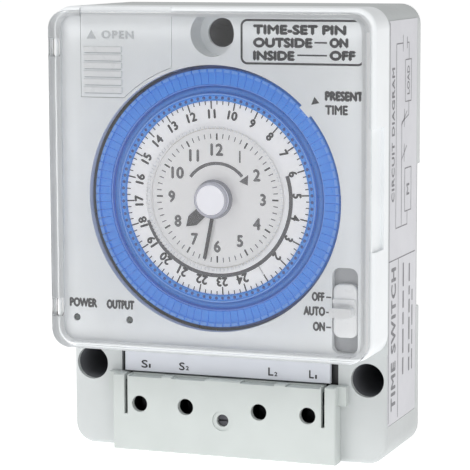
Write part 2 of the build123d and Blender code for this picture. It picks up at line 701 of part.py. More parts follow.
side_holes = [(first_x, first_z, side_arbor_radius + running), (second_x, second_z, side_arbor_radius + running)]
screw_holes = []
for x, z in post_places:
    screw_holes.append((x, z, 1.1))
with BuildPart() as front_plate:
    plate(front_plate_y, side_holes + screw_holes + [(dial_x, dial_z, tube_outer)])
save(front_plate.part, "front_plate")
with BuildPart() as back_plate:
    motor_hole = (motor_x, motor_z, 1.4)
    plate(back_plate_y, side_holes + screw_holes + [(dial_x, dial_z, arbor_radius + running), motor_hole])
save(back_plate.part, "back_plate")
with BuildPart() as plate_pillars:
    for x, z in post_places:
        rod(x, z, front_plate_y + plate_thickness, back_plate_y, pillar_radius)
    for x, z in post_places:
        rod(x, z, front_plate_y, back_plate_y + 1, 1.1, mode=Mode.SUBTRACT)
save(plate_pillars.part, "plate_pillars")
with BuildPart() as movement_screws:
    for x, z in post_places:
        rod(x, z, front_plate_y, back_plate_y + 7.5, 1.05)
        rod(x, z, front_plate_y - 1.2, front_plate_y, 2.0)
        solid_box(x - 2.2, x + 2.2, front_plate_y - 2, front_plate_y - 0.6, z - 0.25, z + 0.25, mode=Mode.SUBTRACT)
save(movement_screws.part, "movement_screws")
with BuildPart() as clock_tube:
    rod(dial_x, dial_z, dial_face_y + 0.6, front_plate_y + plate_thickness, tube_outer)
    rod(dial_x, dial_z, front_plate_y - 0.5, front_plate_y, 4.0)
    rod(dial_x, dial_z, dial_face_y - 1, front_plate_y + plate_thickness + 1, tube_inner, mode=Mode.SUBTRACT)
save(clock_tube.part, "clock_tube")
with BuildPart() as clock_face:
    with BuildSketch(dial_plane(dial_face_y + 0.6)):
        Circle(clock_face_radius)
        Circle(tube_inner, mode=Mode.SUBTRACT)
    extrude(amount=0.6)
save(clock_face.part, "clock_face")
with BuildPart() as motor:
    rod(motor_x, motor_z, back_plate_y + plate_thickness + 0.2, back_plate_y + plate_thickness + 0.2 + motor_depth,
        motor_radius)
    fillet(motor.edges(), 1.0)
    motor_back_y = back_plate_y + plate_thickness + 0.2
    rod(motor_x, motor_z, back_plate_y + plate_thickness, motor_back_y + 0.5, 3.0)
    rod(motor_x, motor_z, back_plate_y, back_plate_y + 4, side_arbor_radius + running, mode=Mode.SUBTRACT)
save(motor.part, "motor")


# ================================================================ dial
with BuildPart() as dial_wheel:
    rod(dial_x, dial_z, dial_disc_y, dial_disc_y + dial_disc_thickness, ring_inner_radius - 0.05)
    rod(dial_x, dial_z, dial_disc_y, dial_gear_y + gear_thickness, hub_outer)
    gear(dial_plane(dial_gear_y + gear_thickness), gear_thickness, dial_gear_teeth, dial_module,
         second_angle + 180 / dial_gear_teeth)
    rod(dial_x, dial_z, dial_disc_y - 1, face_y + 5, hub_bore, mode=Mode.SUBTRACT)
save(dial_wheel.part, "dial_wheel")

with BuildPart() as dial_plate:
    with BuildSketch(dial_plane(dial_disc_y)):
        Circle(ring_inner_radius - 0.05)
        Circle(dial_plate_inner, mode=Mode.SUBTRACT)
    extrude(amount=dial_plate_thickness)
save(dial_plate.part, "dial_plate")

with BuildPart() as pin_ring:
    ring_plane = Plane(origin=(dial_x, 0, dial_z), x_dir=(1, 0, 0), z_dir=(0, 0, 1))
    with BuildSketch(ring_plane):
        with BuildLine():
            Polyline((ring_inner_radius, ring_back_y), (ring_inner_radius, band_front_y),
                     (ring_band_radius - 0.35, band_front_y), (ring_band_radius - 0.2, band_front_y - 0.25),
                     (ring_band_radius + 0.1, band_front_y - 0.25), (ring_band_radius + 0.3, band_front_y + 0.5),
                     (pin_inner_radius - 0.35, band_front_y + 0.9),
                     (pin_inner_radius - 0.2, ring_floor_y), (pin_outer_radius - 0.5, ring_floor_y),
                     (pin_outer_radius - 0.5, ring_back_y), close=True)
        make_face()
    revolve(axis=Axis((dial_x, 0, dial_z), (0, 1, 0)))
    with BuildSketch(dial_plane(band_front_y + 0.4)):
        with PolarLocations(dot_circle, quarter_hours, start_angle=pin_phase):
            Circle(dot_radius)
    extrude(amount=1.0, mode=Mode.SUBTRACT)
save(pin_ring.part, "pin_ring")


def time_pin(angle):
    """One time-set pin of the ring, in the builder that is open."""
    half = quarter_angle / 2 - degrees(pin_gap / 2 / pin_outer_radius)
    lug_radius = pin_outer_radius - pin_lug_width
    steps = ((pin_back_y, pin_inner_radius, pin_thickness), (pin_front_y, lug_radius, pin_lug))
    for back_y, inner_radius, depth in steps:
        with BuildSketch(dial_plane(back_y)) as outline:
            with BuildLine():
                inner_arc = CenterArc((0, 0), inner_radius, angle - half, 2 * half)
                outer_arc = CenterArc((0, 0), pin_outer_radius, angle - half, 2 * half)
                Line(inner_arc @ 0, outer_arc @ 0)
                Line(inner_arc @ 1, outer_arc @ 1)
            make_face()
        extrude(outline.sketch, amount=depth)


first_free_pin = 28
free_pins = 4
pin_angles = []
for index in range(quarter_hours):
    pin_angles.append(pin_phase + (index + 0.5) * quarter_angle)
with BuildPart() as pattern_pin:
    time_pin(0)
with BuildPart() as time_set_pins:
    for index, angle in enumerate(pin_angles):
        if index not in range(first_free_pin, first_free_pin + free_pins):
            add(pattern_pin.part.rotate(Axis((dial_x, 0, dial_z), (0, -1, 0)), angle))
save(time_set_pins.part, "time_set_pins")
for number in range(free_pins):
    with BuildPart() as free_pin:
        time_pin(pin_angles[first_free_pin + number])
    save(free_pin.part, f"time_set_pin_{number + 1}")


# ================================================================ hands, knob and wheels
with BuildPart() as hour_wheel:
    rod(dial_x, dial_z, hour_hand_y - hand_thickness, hour_wheel_y + 1.0, hour_pipe_outer)
    gear(dial_plane(hour_pinion_y + 1.2), 1.2, hour_pinion_teeth, second_module, second_angle)
    rod(dial_x, dial_z, hour_pinion_y, hour_wheel_y + 1.0, 3.0)
    gear(dial_plane(hour_wheel_y + 1.0), 1.0, hour_wheel_teeth, hour_module, first_angle + 180 / hour_wheel_teeth)
    rod(dial_x, dial_z, hour_hand_y - 2, hour_wheel_y + 3, arbor_radius + running, mode=Mode.SUBTRACT)
save(hour_wheel.part, "hour_wheel")

# outline of the hand as (along, across), turned to where it points
hand_half = hour_hand_width / 2
hand_outline = ((0, -hand_half), (hour_hand_end - 2.2, -hand_half - 0.2), (hour_hand_end, 0),
                (hour_hand_end - 2.2, hand_half + 0.2), (0, hand_half))
turn = radians(hour_hand_angle)
hand_points = []
for along, across in hand_outline:
    hand_points.append((along * cos(turn) - across * sin(turn), along * sin(turn) + across * cos(turn)))
with BuildPart() as hour_hand:
    with BuildSketch(dial_plane(hour_hand_y)):
        Circle(3.0)
        with BuildLine():
            Polyline(*hand_points, close=True)
        make_face()
        Circle(hour_pipe_outer, mode=Mode.SUBTRACT)
    extrude(amount=hand_thickness)
save(hour_hand.part, "hour_hand")

with BuildPart() as minute_wheel:
    rod(dial_x, dial_z, knob_front_y + 1.2, back_plate_y + plate_thickness - 0.1, arbor_radius)
    gear(dial_plane(drive_wheel_y), drive_wheel_y - first_wheel_y + 0.2, minute_pinion_teeth, minute_module, first_angle)
    gear(dial_plane(drive_wheel_y + 1.0), 1.0, drive_wheel_teeth, motor_module, motor_angle)
save(minute_wheel.part, "minute_wheel")

with BuildPart() as minute_disc:
    with BuildSketch(dial_plane(disc_back_y)):
        Circle(minute_disc_radius)
        Circle(arbor_radius, mode=Mode.SUBTRACT)
    extrude(amount=minute_disc_thickness)
    # fine knurl round the rim
    with BuildSketch(dial_plane(disc_front_y + 0.35)):
        with PolarLocations(minute_disc_radius, 120):
            Rectangle(0.8, 0.35)
    extrude(amount=1.0, mode=Mode.SUBTRACT)
save(minute_disc.part, "minute_disc")

with BuildPart() as minute_hand:
    with BuildSketch(dial_plane(disc_back_y + 0.12)):
        with Locations(Location((0, 0, 0), (0, 0, minute_hand_angle))):
            with Locations(((minute_hand_start + minute_hand_end) / 2, 0)):
                Rectangle(minute_hand_end - minute_hand_start, minute_hand_width)
    extrude(amount=0.12)
save(minute_hand.part, "minute_hand")

with BuildPart() as set_knob:
    rod(dial_x, dial_z, knob_front_y, disc_front_y - 0.9, knob_radius)
    fillet(set_knob.edges().group_by(Axis.Y)[0], 0.4)
    rod(dial_x, dial_z, disc_front_y - 0.9, disc_front_y, knob_radius - 0.5)
    rod(dial_x, dial_z, disc_front_y - 0.3, disc_front_y, knob_radius + 0.5)
    rod(dial_x, dial_z, knob_front_y + 1.2, disc_front_y + 1, arbor_radius, mode=Mode.SUBTRACT)
save(set_knob.part, "set_knob")

with BuildPart() as first_wheel:
    rod(first_x, first_z, front_plate_y + 0.1, back_plate_y + plate_thickness - 0.1, side_arbor_radius)
    gear(facing(first_wheel_y - 0.4, first_x, first_z), first_wheel_y - 0.4 - hour_wheel_y + 0.3,
         first_pinion_teeth, hour_module, first_angle + 180)
    rod(first_x, first_z, first_wheel_y - 0.4, first_wheel_y, 1.6)
    gear(facing(first_wheel_y + 1.2, first_x, first_z), 1.2, first_wheel_teeth, minute_module,
         first_angle + 180 + 180 / first_wheel_teeth)
save(first_wheel.part, "first_wheel")

with BuildPart() as second_wheel:
    rod(second_x, second_z, dial_gear_y - 0.6, back_plate_y + plate_thickness - 0.1, side_arbor_radius)
    gear(facing(dial_gear_y + gear_thickness, second_x, second_z), gear_thickness, second_pinion_teeth,
         dial_module, second_angle + 180)
    gear(facing(hour_pinion_y + 1.2, second_x, second_z), 1.2, second_wheel_teeth, second_module,
         second_angle + 180 + 180 / second_wheel_teeth)
save(second_wheel.part, "second_wheel")

with BuildPart() as motor_pinion:
    gear(facing(drive_wheel_y + 1.2, motor_x, motor_z), 1.4, motor_pinion_teeth, motor_module,
         motor_angle + 180 + 180 / motor_pinion_teeth)
    rod(motor_x, motor_z, drive_wheel_y, back_plate_y + 3.6, side_arbor_radius)
save(motor_pinion.part, "motor_pinion")


# ================================================================ time-switch contact
nose_angle = pointer_angle + 0.5
nose_radius = 0.9
nose_x, nose_z = on_circle(pin_outer_radius + 0.45 + nose_radius, nose_angle)
lever_pivot_x = dial_x + 34.7
lever_pivot_z = dial_z + 19.8
lever_front_y = panel_back_y + 0.5
lever_thickness = 2.0
button_x = lever_pivot_x - 9.2
snap_low_z = dial_z + 26.8
button_gap = 0.3
arm_angle = degrees(atan2(nose_z - lever_pivot_z, nose_x - lever_pivot_x))
arm_length = hypot(nose_z - lever_pivot_z, nose_x - lever_pivot_x)
button_reach = lever_pivot_x - button_x
arm_slope = tan(radians(arm_angle - 180))
arm_top_z = lever_pivot_z - button_reach * arm_slope + 1.0 / cos(radians(arm_angle - 180))
with BuildPart() as switch_lever:
    with BuildSketch(facing(lever_front_y + lever_thickness, lever_pivot_x, lever_pivot_z)):
        Circle(2.0)
        with Locations(Location((0, 0, 0), (0, 0, arm_angle))):
            with Locations((arm_length / 2, 0)):
                Rectangle(arm_length, 1.7)
            with Locations((arm_length, 0)):
                Circle(nose_radius)
        Circle(1.0 + running, mode=Mode.SUBTRACT)
    extrude(amount=lever_thickness)
save(switch_lever.part, "switch_lever")

with BuildPart() as lever_pivot:
    rod(lever_pivot_x, lever_pivot_z, panel_back_y, lever_front_y + lever_thickness + 0.6, 1.0)
    rod(lever_pivot_x, lever_pivot_z, lever_front_y + lever_thickness + 0.1, lever_front_y + lever_thickness + 0.6, 1.8)
save(lever_pivot.part, "lever_pivot")

with BuildPart() as snap_switch:
    solid_box(button_x - 4.0, button_x + 9.2, panel_back_y, panel_back_y + 6.0, snap_low_z, snap_low_z + 6.6)
    for x in (button_x - 2.0, button_x + 2.6, button_x + 7.2):
        solid_box(x - 0.8, x + 0.8, panel_back_y + 2.7, panel_back_y + 3.3, snap_low_z + 6.6, snap_low_z + 10.0)
    solid_box(button_x - 1.1, button_x + 1.1, lever_front_y - 0.1, lever_front_y + lever_thickness + 0.1,
              snap_low_z - 1, snap_low_z + 2.2, mode=Mode.SUBTRACT)
save(snap_switch.part, "snap_switch")

with BuildPart() as switch_button:
    solid_box(button_x - 1.0, button_x + 1.0, lever_front_y, lever_front_y + lever_thickness, arm_top_z + button_gap,
              snap_low_z + 1.0)
save(switch_button.part, "switch_button")


# ================================================================ manual switch
switch_face_y = panel_back_y + 0.4
switch_width = 8.0
switch_depth = 7.0
switch_low_z = upper_bottom + wall + seam
switch_high_z = slot_z + slot_length / 2 + 0.8
with BuildPart() as slide_switch:
    with BuildSketch(facing(switch_face_y + switch_depth)):
        with Locations((slot_x, (switch_low_z + switch_high_z) / 2)):
            RectangleRounded(switch_width, switch_high_z - switch_low_z, 2.5)
    extrude(amount=switch_depth)
    solid_box(slot_x - 1.7, slot_x + 1.7, switch_face_y - 1, switch_face_y + 2.5, slot_z - 2.2 - switch_travel,
              slot_z + 2.2 + switch_travel, mode=Mode.SUBTRACT)
save(slide_switch.part, "slide_switch")

slider_width = slot_width - 2 * slider_gap
with BuildPart() as switch_knob:
    with BuildSketch(facing(panel_y + 2.0)):
        with Locations((slot_x, slot_z)):
            RectangleRounded(slider_width, slider_length, slot_corner - slider_gap)
    extrude(amount=1.9)
    fillet(switch_knob.edges().group_by(Axis.Y)[0], 0.5)
    solid_box(slot_x - 1.5, slot_x + 1.5, panel_y + 1.5, switch_face_y + 2.0, slot_z - 2.0, slot_z + 2.0)
    # raised grip bar, with a lower step above it
    with BuildSketch(facing(panel_y + 0.5)):
        with Locations((slot_x - 0.2, slot_z)):
            RectangleRounded(slider_width - 0.6, 2.3, 0.7)
    extrude(amount=slider_rise + 0.5)
    with BuildSketch(facing(panel_y + 0.5)):
        with Locations((slot_x - 0.1, slot_z + 2.4)):
            RectangleRounded(slider_width - 0.4, 1.0, 0.4)
    extrude(amount=1.1)
save(switch_knob.part, "switch_knob")


# ================================================================ lamps and board
lamp_board_y = panel_back_y + 4.9
for x, name in ((power_lamp_x, "power_lamp"), (output_lamp_x, "output_lamp")):
    with BuildPart() as lamp:
        rod(x, lamp_z, panel_back_y + 0.5, lamp_board_y, lamp_radius)
        rod(x, lamp_z, panel_y + 0.3, panel_back_y + 0.6, lamp_hole_radius - 0.05)
        fillet(lamp.edges().group_by(Axis.Y)[0], 0.35)
    save(lamp.part, name)
with BuildPart() as lamp_board:
    solid_box(power_lamp_x - 3.0, output_lamp_x + 3.4, lamp_board_y, lamp_board_y + 1.2, lamp_z - 3.4, lamp_z + 3.7)
save(lamp_board.part, "lamp_board")

board_front_y = rear_y - 7.3
board_thickness = 1.6
board_left = wall + 0.8 - half_width
with BuildPart() as control_board:
    solid_box(board_left, board_left + 23.7, board_front_y, board_front_y + board_thickness, 30.0, 88.0)
    for x, z in post_places[:2]:
        rod(x, z, board_front_y - 1, board_front_y + 3, post_radius + 0.4, mode=Mode.SUBTRACT)
    rod(-case_screw_x, case_screw_zs[0], board_front_y - 1, board_front_y + 3, case_column_radius + 0.3,
        mode=Mode.SUBTRACT)
save(control_board.part, "control_board")
with BuildPart() as storage_capacitor:
    rod(board_left + 7.2, 78.0, board_front_y - 11, board_front_y, 4.5)
    fillet(storage_capacitor.edges().group_by(Axis.Y)[0], 0.8)
save(storage_capacitor.part, "storage_capacitor")
with BuildPart() as film_capacitor:
    solid_box(board_left + 5.2, board_left + 12.2, board_front_y - 10, board_front_y, 58.0, 71.0)
    fillet(film_capacitor.edges().filter_by(Axis.Y), 0.8)
save(film_capacitor.part, "film_capacitor")
with BuildPart() as control_chip:
    chip_x = board_left + 7.95
    leg_reach = 4.35
    solid_box(chip_x - 3.25, chip_x + 3.25, board_front_y - 3.2, board_front_y - 0.6, 36.0, 46.0)
    for level in range(4):
        z = 37.2 + level * 2.54
        solid_box(chip_x - leg_reach, chip_x + leg_reach, board_front_y - 1.9, board_front_y - 1.6,
                  z - 0.25, z + 0.25)
        for leg_x in (chip_x - leg_reach, chip_x + leg_reach - 0.3):
            solid_box(leg_x, leg_x + 0.3, board_front_y - 1.9, board_front_y, z - 0.25, z + 0.25)
save(control_chip.part, "control_chip")
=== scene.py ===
"""Heating time switch with a clear hinged cover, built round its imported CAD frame.

Row frame in metres: X to the right, Y into the depth (the dial faces -Y), Z up.
"""
import json
from math import cos, hypot, pi, radians, sin

import bmesh
import bpy
from mathutils import Matrix, Vector

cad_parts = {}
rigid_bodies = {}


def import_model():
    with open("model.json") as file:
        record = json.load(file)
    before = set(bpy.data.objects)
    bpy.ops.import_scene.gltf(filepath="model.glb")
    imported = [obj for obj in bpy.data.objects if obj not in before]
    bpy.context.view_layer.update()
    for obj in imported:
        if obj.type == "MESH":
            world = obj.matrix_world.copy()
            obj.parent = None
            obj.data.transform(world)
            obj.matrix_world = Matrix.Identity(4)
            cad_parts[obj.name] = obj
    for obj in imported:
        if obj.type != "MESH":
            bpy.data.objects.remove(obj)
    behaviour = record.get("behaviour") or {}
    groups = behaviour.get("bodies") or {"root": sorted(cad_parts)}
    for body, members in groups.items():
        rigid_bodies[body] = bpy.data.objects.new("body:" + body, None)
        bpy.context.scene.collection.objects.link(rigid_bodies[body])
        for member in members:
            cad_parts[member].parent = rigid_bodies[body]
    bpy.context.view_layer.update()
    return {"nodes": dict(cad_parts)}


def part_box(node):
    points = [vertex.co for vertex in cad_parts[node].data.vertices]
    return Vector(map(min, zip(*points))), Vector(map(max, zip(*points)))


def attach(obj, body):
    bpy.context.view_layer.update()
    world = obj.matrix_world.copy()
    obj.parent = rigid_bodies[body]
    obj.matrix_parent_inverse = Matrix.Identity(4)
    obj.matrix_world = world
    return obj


for old in list(bpy.data.objects):
    bpy.data.objects.remove(old)
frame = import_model()
nodes = frame["nodes"]
mm = 0.001


# ================================================================ camera
# A long lens, a little above the object and to its right, so that the right side
# shows its rating label and the underside stays hidden.
camera_place = Vector((189.8, -513.0, 125.4)) * mm
camera_yaw = radians(20.30)
camera_pitch = radians(7.48)
camera_roll = radians(-0.20)
forward = Vector((-sin(camera_yaw) * cos(camera_pitch), cos(camera_yaw) * cos(camera_pitch),
                  -sin(camera_pitch)))
level = Vector((cos(camera_yaw), sin(camera_yaw), 0))
upright = level.cross(forward)
across = level * cos(camera_roll) + upright * sin(camera_roll)
upward = upright * cos(camera_roll) - level * sin(camera_roll)
camera_data = bpy.data.cameras.new("camera")
camera_data.lens = 171.5
camera_data.sensor_width = 36.0
camera_data.clip_start = 0.01
camera = bpy.data.objects.new("camera", camera_data)
bpy.context.scene.collection.objects.link(camera)
camera.matrix_world = Matrix((
    (across.x, upward.x, -forward.x, camera_place.x),
    (across.y, upward.y, -forward.y, camera_place.y),
    (across.z, upward.z, -forward.z, camera_place.z),
    (0, 0, 0, 1)))
bpy.context.scene.camera = camera


# ================================================================ housing mouldings
# Rear base and terminal cover are injection-moulded ABS in a warm light grey. The front case and
# the battery door are given a paler grey, painted light that makes up for what the clear cover
# keeps off them. All have a fine spark-eroded grain.
def blank_material(name):
    """A new node material and its shader."""
    material = bpy.data.materials.new(name)
    material.use_nodes = True
    return material, material.node_tree, material.node_tree.nodes["Principled BSDF"]


def object_noise(tree, scale, detail=3.0, stretch=(1.0, 1.0, 1.0)):
    """Noise that sits still on the piece, read in its own coordinates."""
    place = tree.nodes.new("ShaderNodeTexCoord")
    mapping = tree.nodes.new("ShaderNodeMapping")
    mapping.inputs["Scale"].default_value = stretch
    noise = tree.nodes.new("ShaderNodeTexNoise")
    noise.inputs["Scale"].default_value = scale
    noise.inputs["Detail"].default_value = detail
    tree.links.new(place.outputs["Object"], mapping.inputs["Vector"])
    tree.links.new(mapping.outputs["Vector"], noise.inputs["Vector"])
    return noise.outputs["Fac"]


def tinted(tree, shader, factor, dark, light, socket="Base Color"):
    """Colour between two shades, chosen by a factor."""
    ramp = tree.nodes.new("ShaderNodeValToRGB")
    ramp.color_ramp.elements[0].position = 0.35
    ramp.color_ramp.elements[0].color = (*dark, 1)
    ramp.color_ramp.elements[1].position = 0.65
    ramp.color_ramp.elements[1].color = (*light, 1)
    tree.links.new(factor, ramp.inputs["Fac"])
    tree.links.new(ramp.outputs["Color"], shader.inputs[socket])


def ranged(tree, factor, low, high):
    """A factor spread from low to high."""
    spread = tree.nodes.new("ShaderNodeMapRange")
    spread.inputs["From Min"].default_value = 0.3
    spread.inputs["From Max"].default_value = 0.7
    spread.inputs["To Min"].default_value = low
    spread.inputs["To Max"].default_value = high
    tree.links.new(factor, spread.inputs["Value"])
    return spread.outputs["Result"]


def grained(tree, shader, factor, strength, depth):
    """A bump from a factor."""
    bump = tree.nodes.new("ShaderNodeBump")
    bump.inputs["Strength"].default_value = strength
    bump.inputs["Distance"].default_value = depth
    tree.links.new(factor, bump.inputs["Height"])
    tree.links.new(bump.outputs["Normal"], shader.inputs["Normal"])


def shade(colour, gain):
    """A colour made lighter or darker, never above full."""
    return tuple(min(1.0, part * gain) for part in colour)


def moulded(name, colour, roughness, grain=0.25, grain_size=0.12):
    """Moulded plastic: cloudy flow in the colour, eroded grain, uneven polish."""
    material, tree, shader = blank_material(name)
    cloud = object_noise(tree, 90.0, 2.0)
    tinted(tree, shader, cloud, shade(colour, 0.975), shade(colour, 1.015))
    tree.links.new(ranged(tree, object_noise(tree, 420.0), roughness - 0.04, roughness + 0.05),
                   shader.inputs["Roughness"])
    grained(tree, shader, object_noise(tree, 1 / (grain_size * mm), 4.0), grain, 0.02 * mm)
    shader.inputs["IOR"].default_value = 1.52
    return material


def dress(material, *names):
    """Puts a material on CAD nodes."""
    for name in names:
        slots = nodes[name].data.materials
        slots.clear()
        slots.append(material)


housing_plastic = moulded("housing_plastic", (0.575, 0.60, 0.60), 0.42)
dress(housing_plastic, "rear_base")
# paler grey: painted light for the front case and door under the clear cover
panel_plastic_painted_light = moulded("panel_plastic_painted_light", (0.88, 0.905, 0.92), 0.4)
dress(panel_plastic_painted_light, "front_case", "battery_door")
cover_plastic = moulded("terminal_cover_plastic", (0.565, 0.60, 0.585), 0.45)
dress(cover_plastic, "terminal_cover")


# ================================================================ metal pieces
# Zinc-plated steel screws and plates, and plated brass strips. The plating is brushed faintly
# along its length and clouded by passivation. The screws and clamps of the terminals and the
# terminal cover's screw are painted near black, a painted shade for the holes they sit in.
def plated(name, colour, roughness, stretch):
    """Plated metal with fine drawn lines along one axis."""
    material, tree, shader = blank_material(name)
    shader.inputs["Metallic"].default_value = 1.0
    tinted(tree, shader, object_noise(tree, 160.0), shade(colour, 0.86), colour)
    lines = object_noise(tree, 900.0, 5.0, stretch)
    tree.links.new(ranged(tree, lines, roughness - 0.08, roughness + 0.1),
                   shader.inputs["Roughness"])
    grained(tree, shader, lines, 0.15, 0.01 * mm)
    return material


zinc = plated("zinc_plate", (0.62, 0.64, 0.67), 0.34, (1.0, 1.0, 8.0))
brass = plated("plated_brass", (0.72, 0.60, 0.34), 0.30, (6.0, 1.0, 1.0))
dress(zinc, "case_screws", "front_plate", "back_plate", "plate_pillars",
      "movement_screws", "clock_tube", "motor", "lever_pivot", "battery_contacts")
dress(brass, "contact_strips")
# near-black zinc: painted shade for the dark holes the terminal screws sit in
painted_shade_zinc = plated("zinc_darkened_as_painted_shade", (0.10, 0.10, 0.11), 0.42, (1.0, 1.0, 8.0))
dress(painted_shade_zinc, "terminal_cover_screw")
for number in range(1, 5):
    dress(painted_shade_zinc, f"terminal_clamp_{number}", f"terminal_screw_{number}")


# ================================================================ inside mouldings
# Terminal block and snap switch are dark phenolic, the wheels natural acetal, the boards
# green laminate, and the cell has a wrapped sleeve. The knobs seen in front are white.
black_plastic = moulded("black_plastic", (0.022, 0.023, 0.025), 0.38)
acetal = moulded("acetal", (0.78, 0.76, 0.69), 0.35)
laminate = moulded("board_laminate", (0.035, 0.16, 0.075), 0.32, 0.5, 0.25)
sleeve = moulded("cell_sleeve", (0.05, 0.20, 0.12), 0.30)
film = moulded("film_capacitor_skin", (0.06, 0.15, 0.42), 0.28)
dress(black_plastic, "terminal_block", "snap_switch", "switch_lever", "storage_capacitor",
      "control_chip", "din_latch")
dress(acetal, "dial_wheel", "hour_wheel", "minute_wheel", "first_wheel", "second_wheel",
      "motor_pinion")
dress(laminate, "lamp_board", "control_board")
dress(sleeve, "battery")
dress(film, "film_capacitor")
switch_grey = moulded("switch_grey", (0.42, 0.43, 0.45), 0.4)
dress(switch_grey, "slide_switch")
white_plastic = moulded("white_plastic", (0.88, 0.89, 0.90), 0.3, 0.1)
dress(white_plastic, "switch_button", "switch_knob")
knob_plastic = moulded("knob_plastic", (0.87, 0.87, 0.93), 0.35, 0.1)


def glowing(material, colour, strength):
    """A little light of its own, to make up for what the clear cover keeps off the piece."""
    shader = material.node_tree.nodes["Principled BSDF"]
    shader.inputs["Emission Color"].default_value = (*colour, 1)
    shader.inputs["Emission Strength"].default_value = strength


# painted glow: the white knob gives off a little light, though it is no lamp
glowing(knob_plastic, (0.95, 0.95, 1), 0.22)
dress(knob_plastic, "set_knob")


# ================================================================ blue dial ring and its pins
# The ring and its ninety-six pins are moulded in a tinted blue, given a painted glow of its own
# so that it reads bright under the cover. Each pin slides out past its neighbours to switch the
# heating on.
dial_low, dial_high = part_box("clock_face")
dial_centre = (Vector(dial_low) + Vector(dial_high)) / 2
dial_x, dial_z = dial_centre.x, dial_centre.z
dial_face_y = dial_low[1]


def dial_place(y):
    """The dial's own plane at depth y: local X right, local Y up, local Z out."""
    return Matrix(((1, 0, 0, dial_x), (0, 0, -1, y), (0, 1, 0, dial_z), (0, 0, 0, 1)))


def repeat_tree():
    """A tree that repeats one piece round the local Z axis."""
    tree = bpy.data.node_groups.new("repeat_round", "GeometryNodeTree")
    sockets = tree.interface
    sockets.new_socket("Piece", in_out="INPUT", socket_type="NodeSocketObject")
    sockets.new_socket("Count", in_out="INPUT", socket_type="NodeSocketInt")
    sockets.new_socket("First angle", in_out="INPUT", socket_type="NodeSocketFloat")
    sockets.new_socket("Step angle", in_out="INPUT", socket_type="NodeSocketFloat")
    sockets.new_socket("Material", in_out="INPUT", socket_type="NodeSocketMaterial")
    sockets.new_socket("Geometry", in_out="OUTPUT", socket_type="NodeSocketGeometry")
    entry = tree.nodes.new("NodeGroupInput")
    leave = tree.nodes.new("NodeGroupOutput")
    row = tree.nodes.new("GeometryNodeMeshLine")
    row.inputs["Offset"].default_value = (0, 0, 0)
    info = tree.nodes.new("GeometryNodeObjectInfo")
    number = tree.nodes.new("GeometryNodeInputIndex")
    turned = tree.nodes.new("ShaderNodeMath")
    turned.operation = "MULTIPLY_ADD"
    angles = tree.nodes.new("ShaderNodeCombineXYZ")
    copies = tree.nodes.new("GeometryNodeInstanceOnPoints")
    real = tree.nodes.new("GeometryNodeRealizeInstances")
    dressed = tree.nodes.new("GeometryNodeSetMaterial")
    link = tree.links.new
    link(entry.outputs["Piece"], info.inputs["Object"])
    link(entry.outputs["Count"], row.inputs["Count"])
    link(number.outputs["Index"], turned.inputs[0])
    link(entry.outputs["Step angle"], turned.inputs[1])
    link(entry.outputs["First angle"], turned.inputs[2])
    link(turned.outputs[0], angles.inputs["Z"])
    link(row.outputs["Mesh"], copies.inputs["Points"])
    link(info.outputs["Geometry"], copies.inputs["Instance"])
    link(angles.outputs["Vector"], copies.inputs["Rotation"])
    link(copies.outputs["Instances"], real.inputs["Geometry"])
    link(real.outputs["Geometry"], dressed.inputs["Geometry"])
    link(entry.outputs["Material"], dressed.inputs["Material"])
    link(dressed.outputs["Geometry"], leave.inputs["Geometry"])
    return tree


round_tree = repeat_tree()


def repeated(piece_mesh, count, first, step, material, place):
    """A plain mesh of copies round the dial, from the first angle by steps in degrees."""
    piece = bpy.data.objects.new("pattern", piece_mesh)
    carrier = bpy.data.objects.new("carrier", bpy.data.meshes.new("carrier"))
    for thing in (piece, carrier):
        bpy.context.scene.collection.objects.link(thing)
    modifier = carrier.modifiers.new("round", "NODES")
    modifier.node_group = round_tree
    values = {"Piece": piece, "Count": count, "First angle": radians(first),
              "Step angle": radians(step), "Material": material}
    for item in round_tree.interface.items_tree:
        if item.in_out == "INPUT":
            modifier[item.identifier] = values[item.name]
    bpy.context.view_layer.update()
    evaluated = carrier.evaluated_get(bpy.context.evaluated_depsgraph_get())
    mesh = bpy.data.meshes.new_from_object(evaluated)
    mesh.transform(place)
    carrier.modifiers.remove(modifier)
    bpy.data.objects.remove(carrier)
    bpy.data.objects.remove(piece)
    return mesh


def finished(name, mesh, body):
    """Links a finished mesh as a piece that rides on a body."""
    piece = bpy.data.objects.new(name, mesh)
    bpy.context.scene.collection.objects.link(piece)
    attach(piece, body)
    return piece


blue, blue_tree, blue_shader = blank_material("blue_plastic")
tinted(blue_tree, blue_shader, object_noise(blue_tree, 120.0),
       (0.004, 0.17, 0.62), (0.006, 0.20, 0.68))
blue_shader.inputs["Roughness"].default_value = 0.24
blue_shader.inputs["IOR"].default_value = 1.5
# painted glow: the blue gives off light of its own, though it is no lamp
glowing(blue, (0.01, 0.20, 0.72), 0.24)
grained(blue_tree, blue_shader, object_noise(blue_tree, 3000.0), 0.1, 0.01 * mm)
dress(blue, "pin_ring", "time_set_pins")
for number in range(1, 5):
    dress(blue, f"time_set_pin_{number}")


def bar_mesh(inner, outer, width, height=0.02, bevel=0.0):
    """A flat block lying along +X from the inner to the outer radius, in millimetres."""
    mesh = bpy.data.meshes.new("bar")
    shape = bmesh.new()
    bmesh.ops.create_cube(shape, size=1.0)
    for corner in shape.verts:
        corner.co = Vector(((inner + outer) / 2 + corner.co.x * (outer - inner),
                            corner.co.y * width, corner.co.z * height)) * mm
    if bevel:
        bmesh.ops.bevel(shape, geom=shape.edges, offset=bevel * mm, segments=2,
                        affect="EDGES", profile=0.5)
    shape.to_mesh(mesh)
    shape.free()
    return mesh


def dot_mesh(distance, radius, height=0.05):
    """A small round boss at a distance along +X."""
    mesh = bpy.data.meshes.new("dot")
    shape = bmesh.new()
    bmesh.ops.create_cone(shape, cap_ends=True, segments=14, radius1=radius * mm,
                          radius2=radius * 0.9 * mm, depth=height * mm,
                          matrix=Matrix.Translation((distance * mm, 0, 0)))
    shape.to_mesh(mesh)
    shape.free()
    return mesh


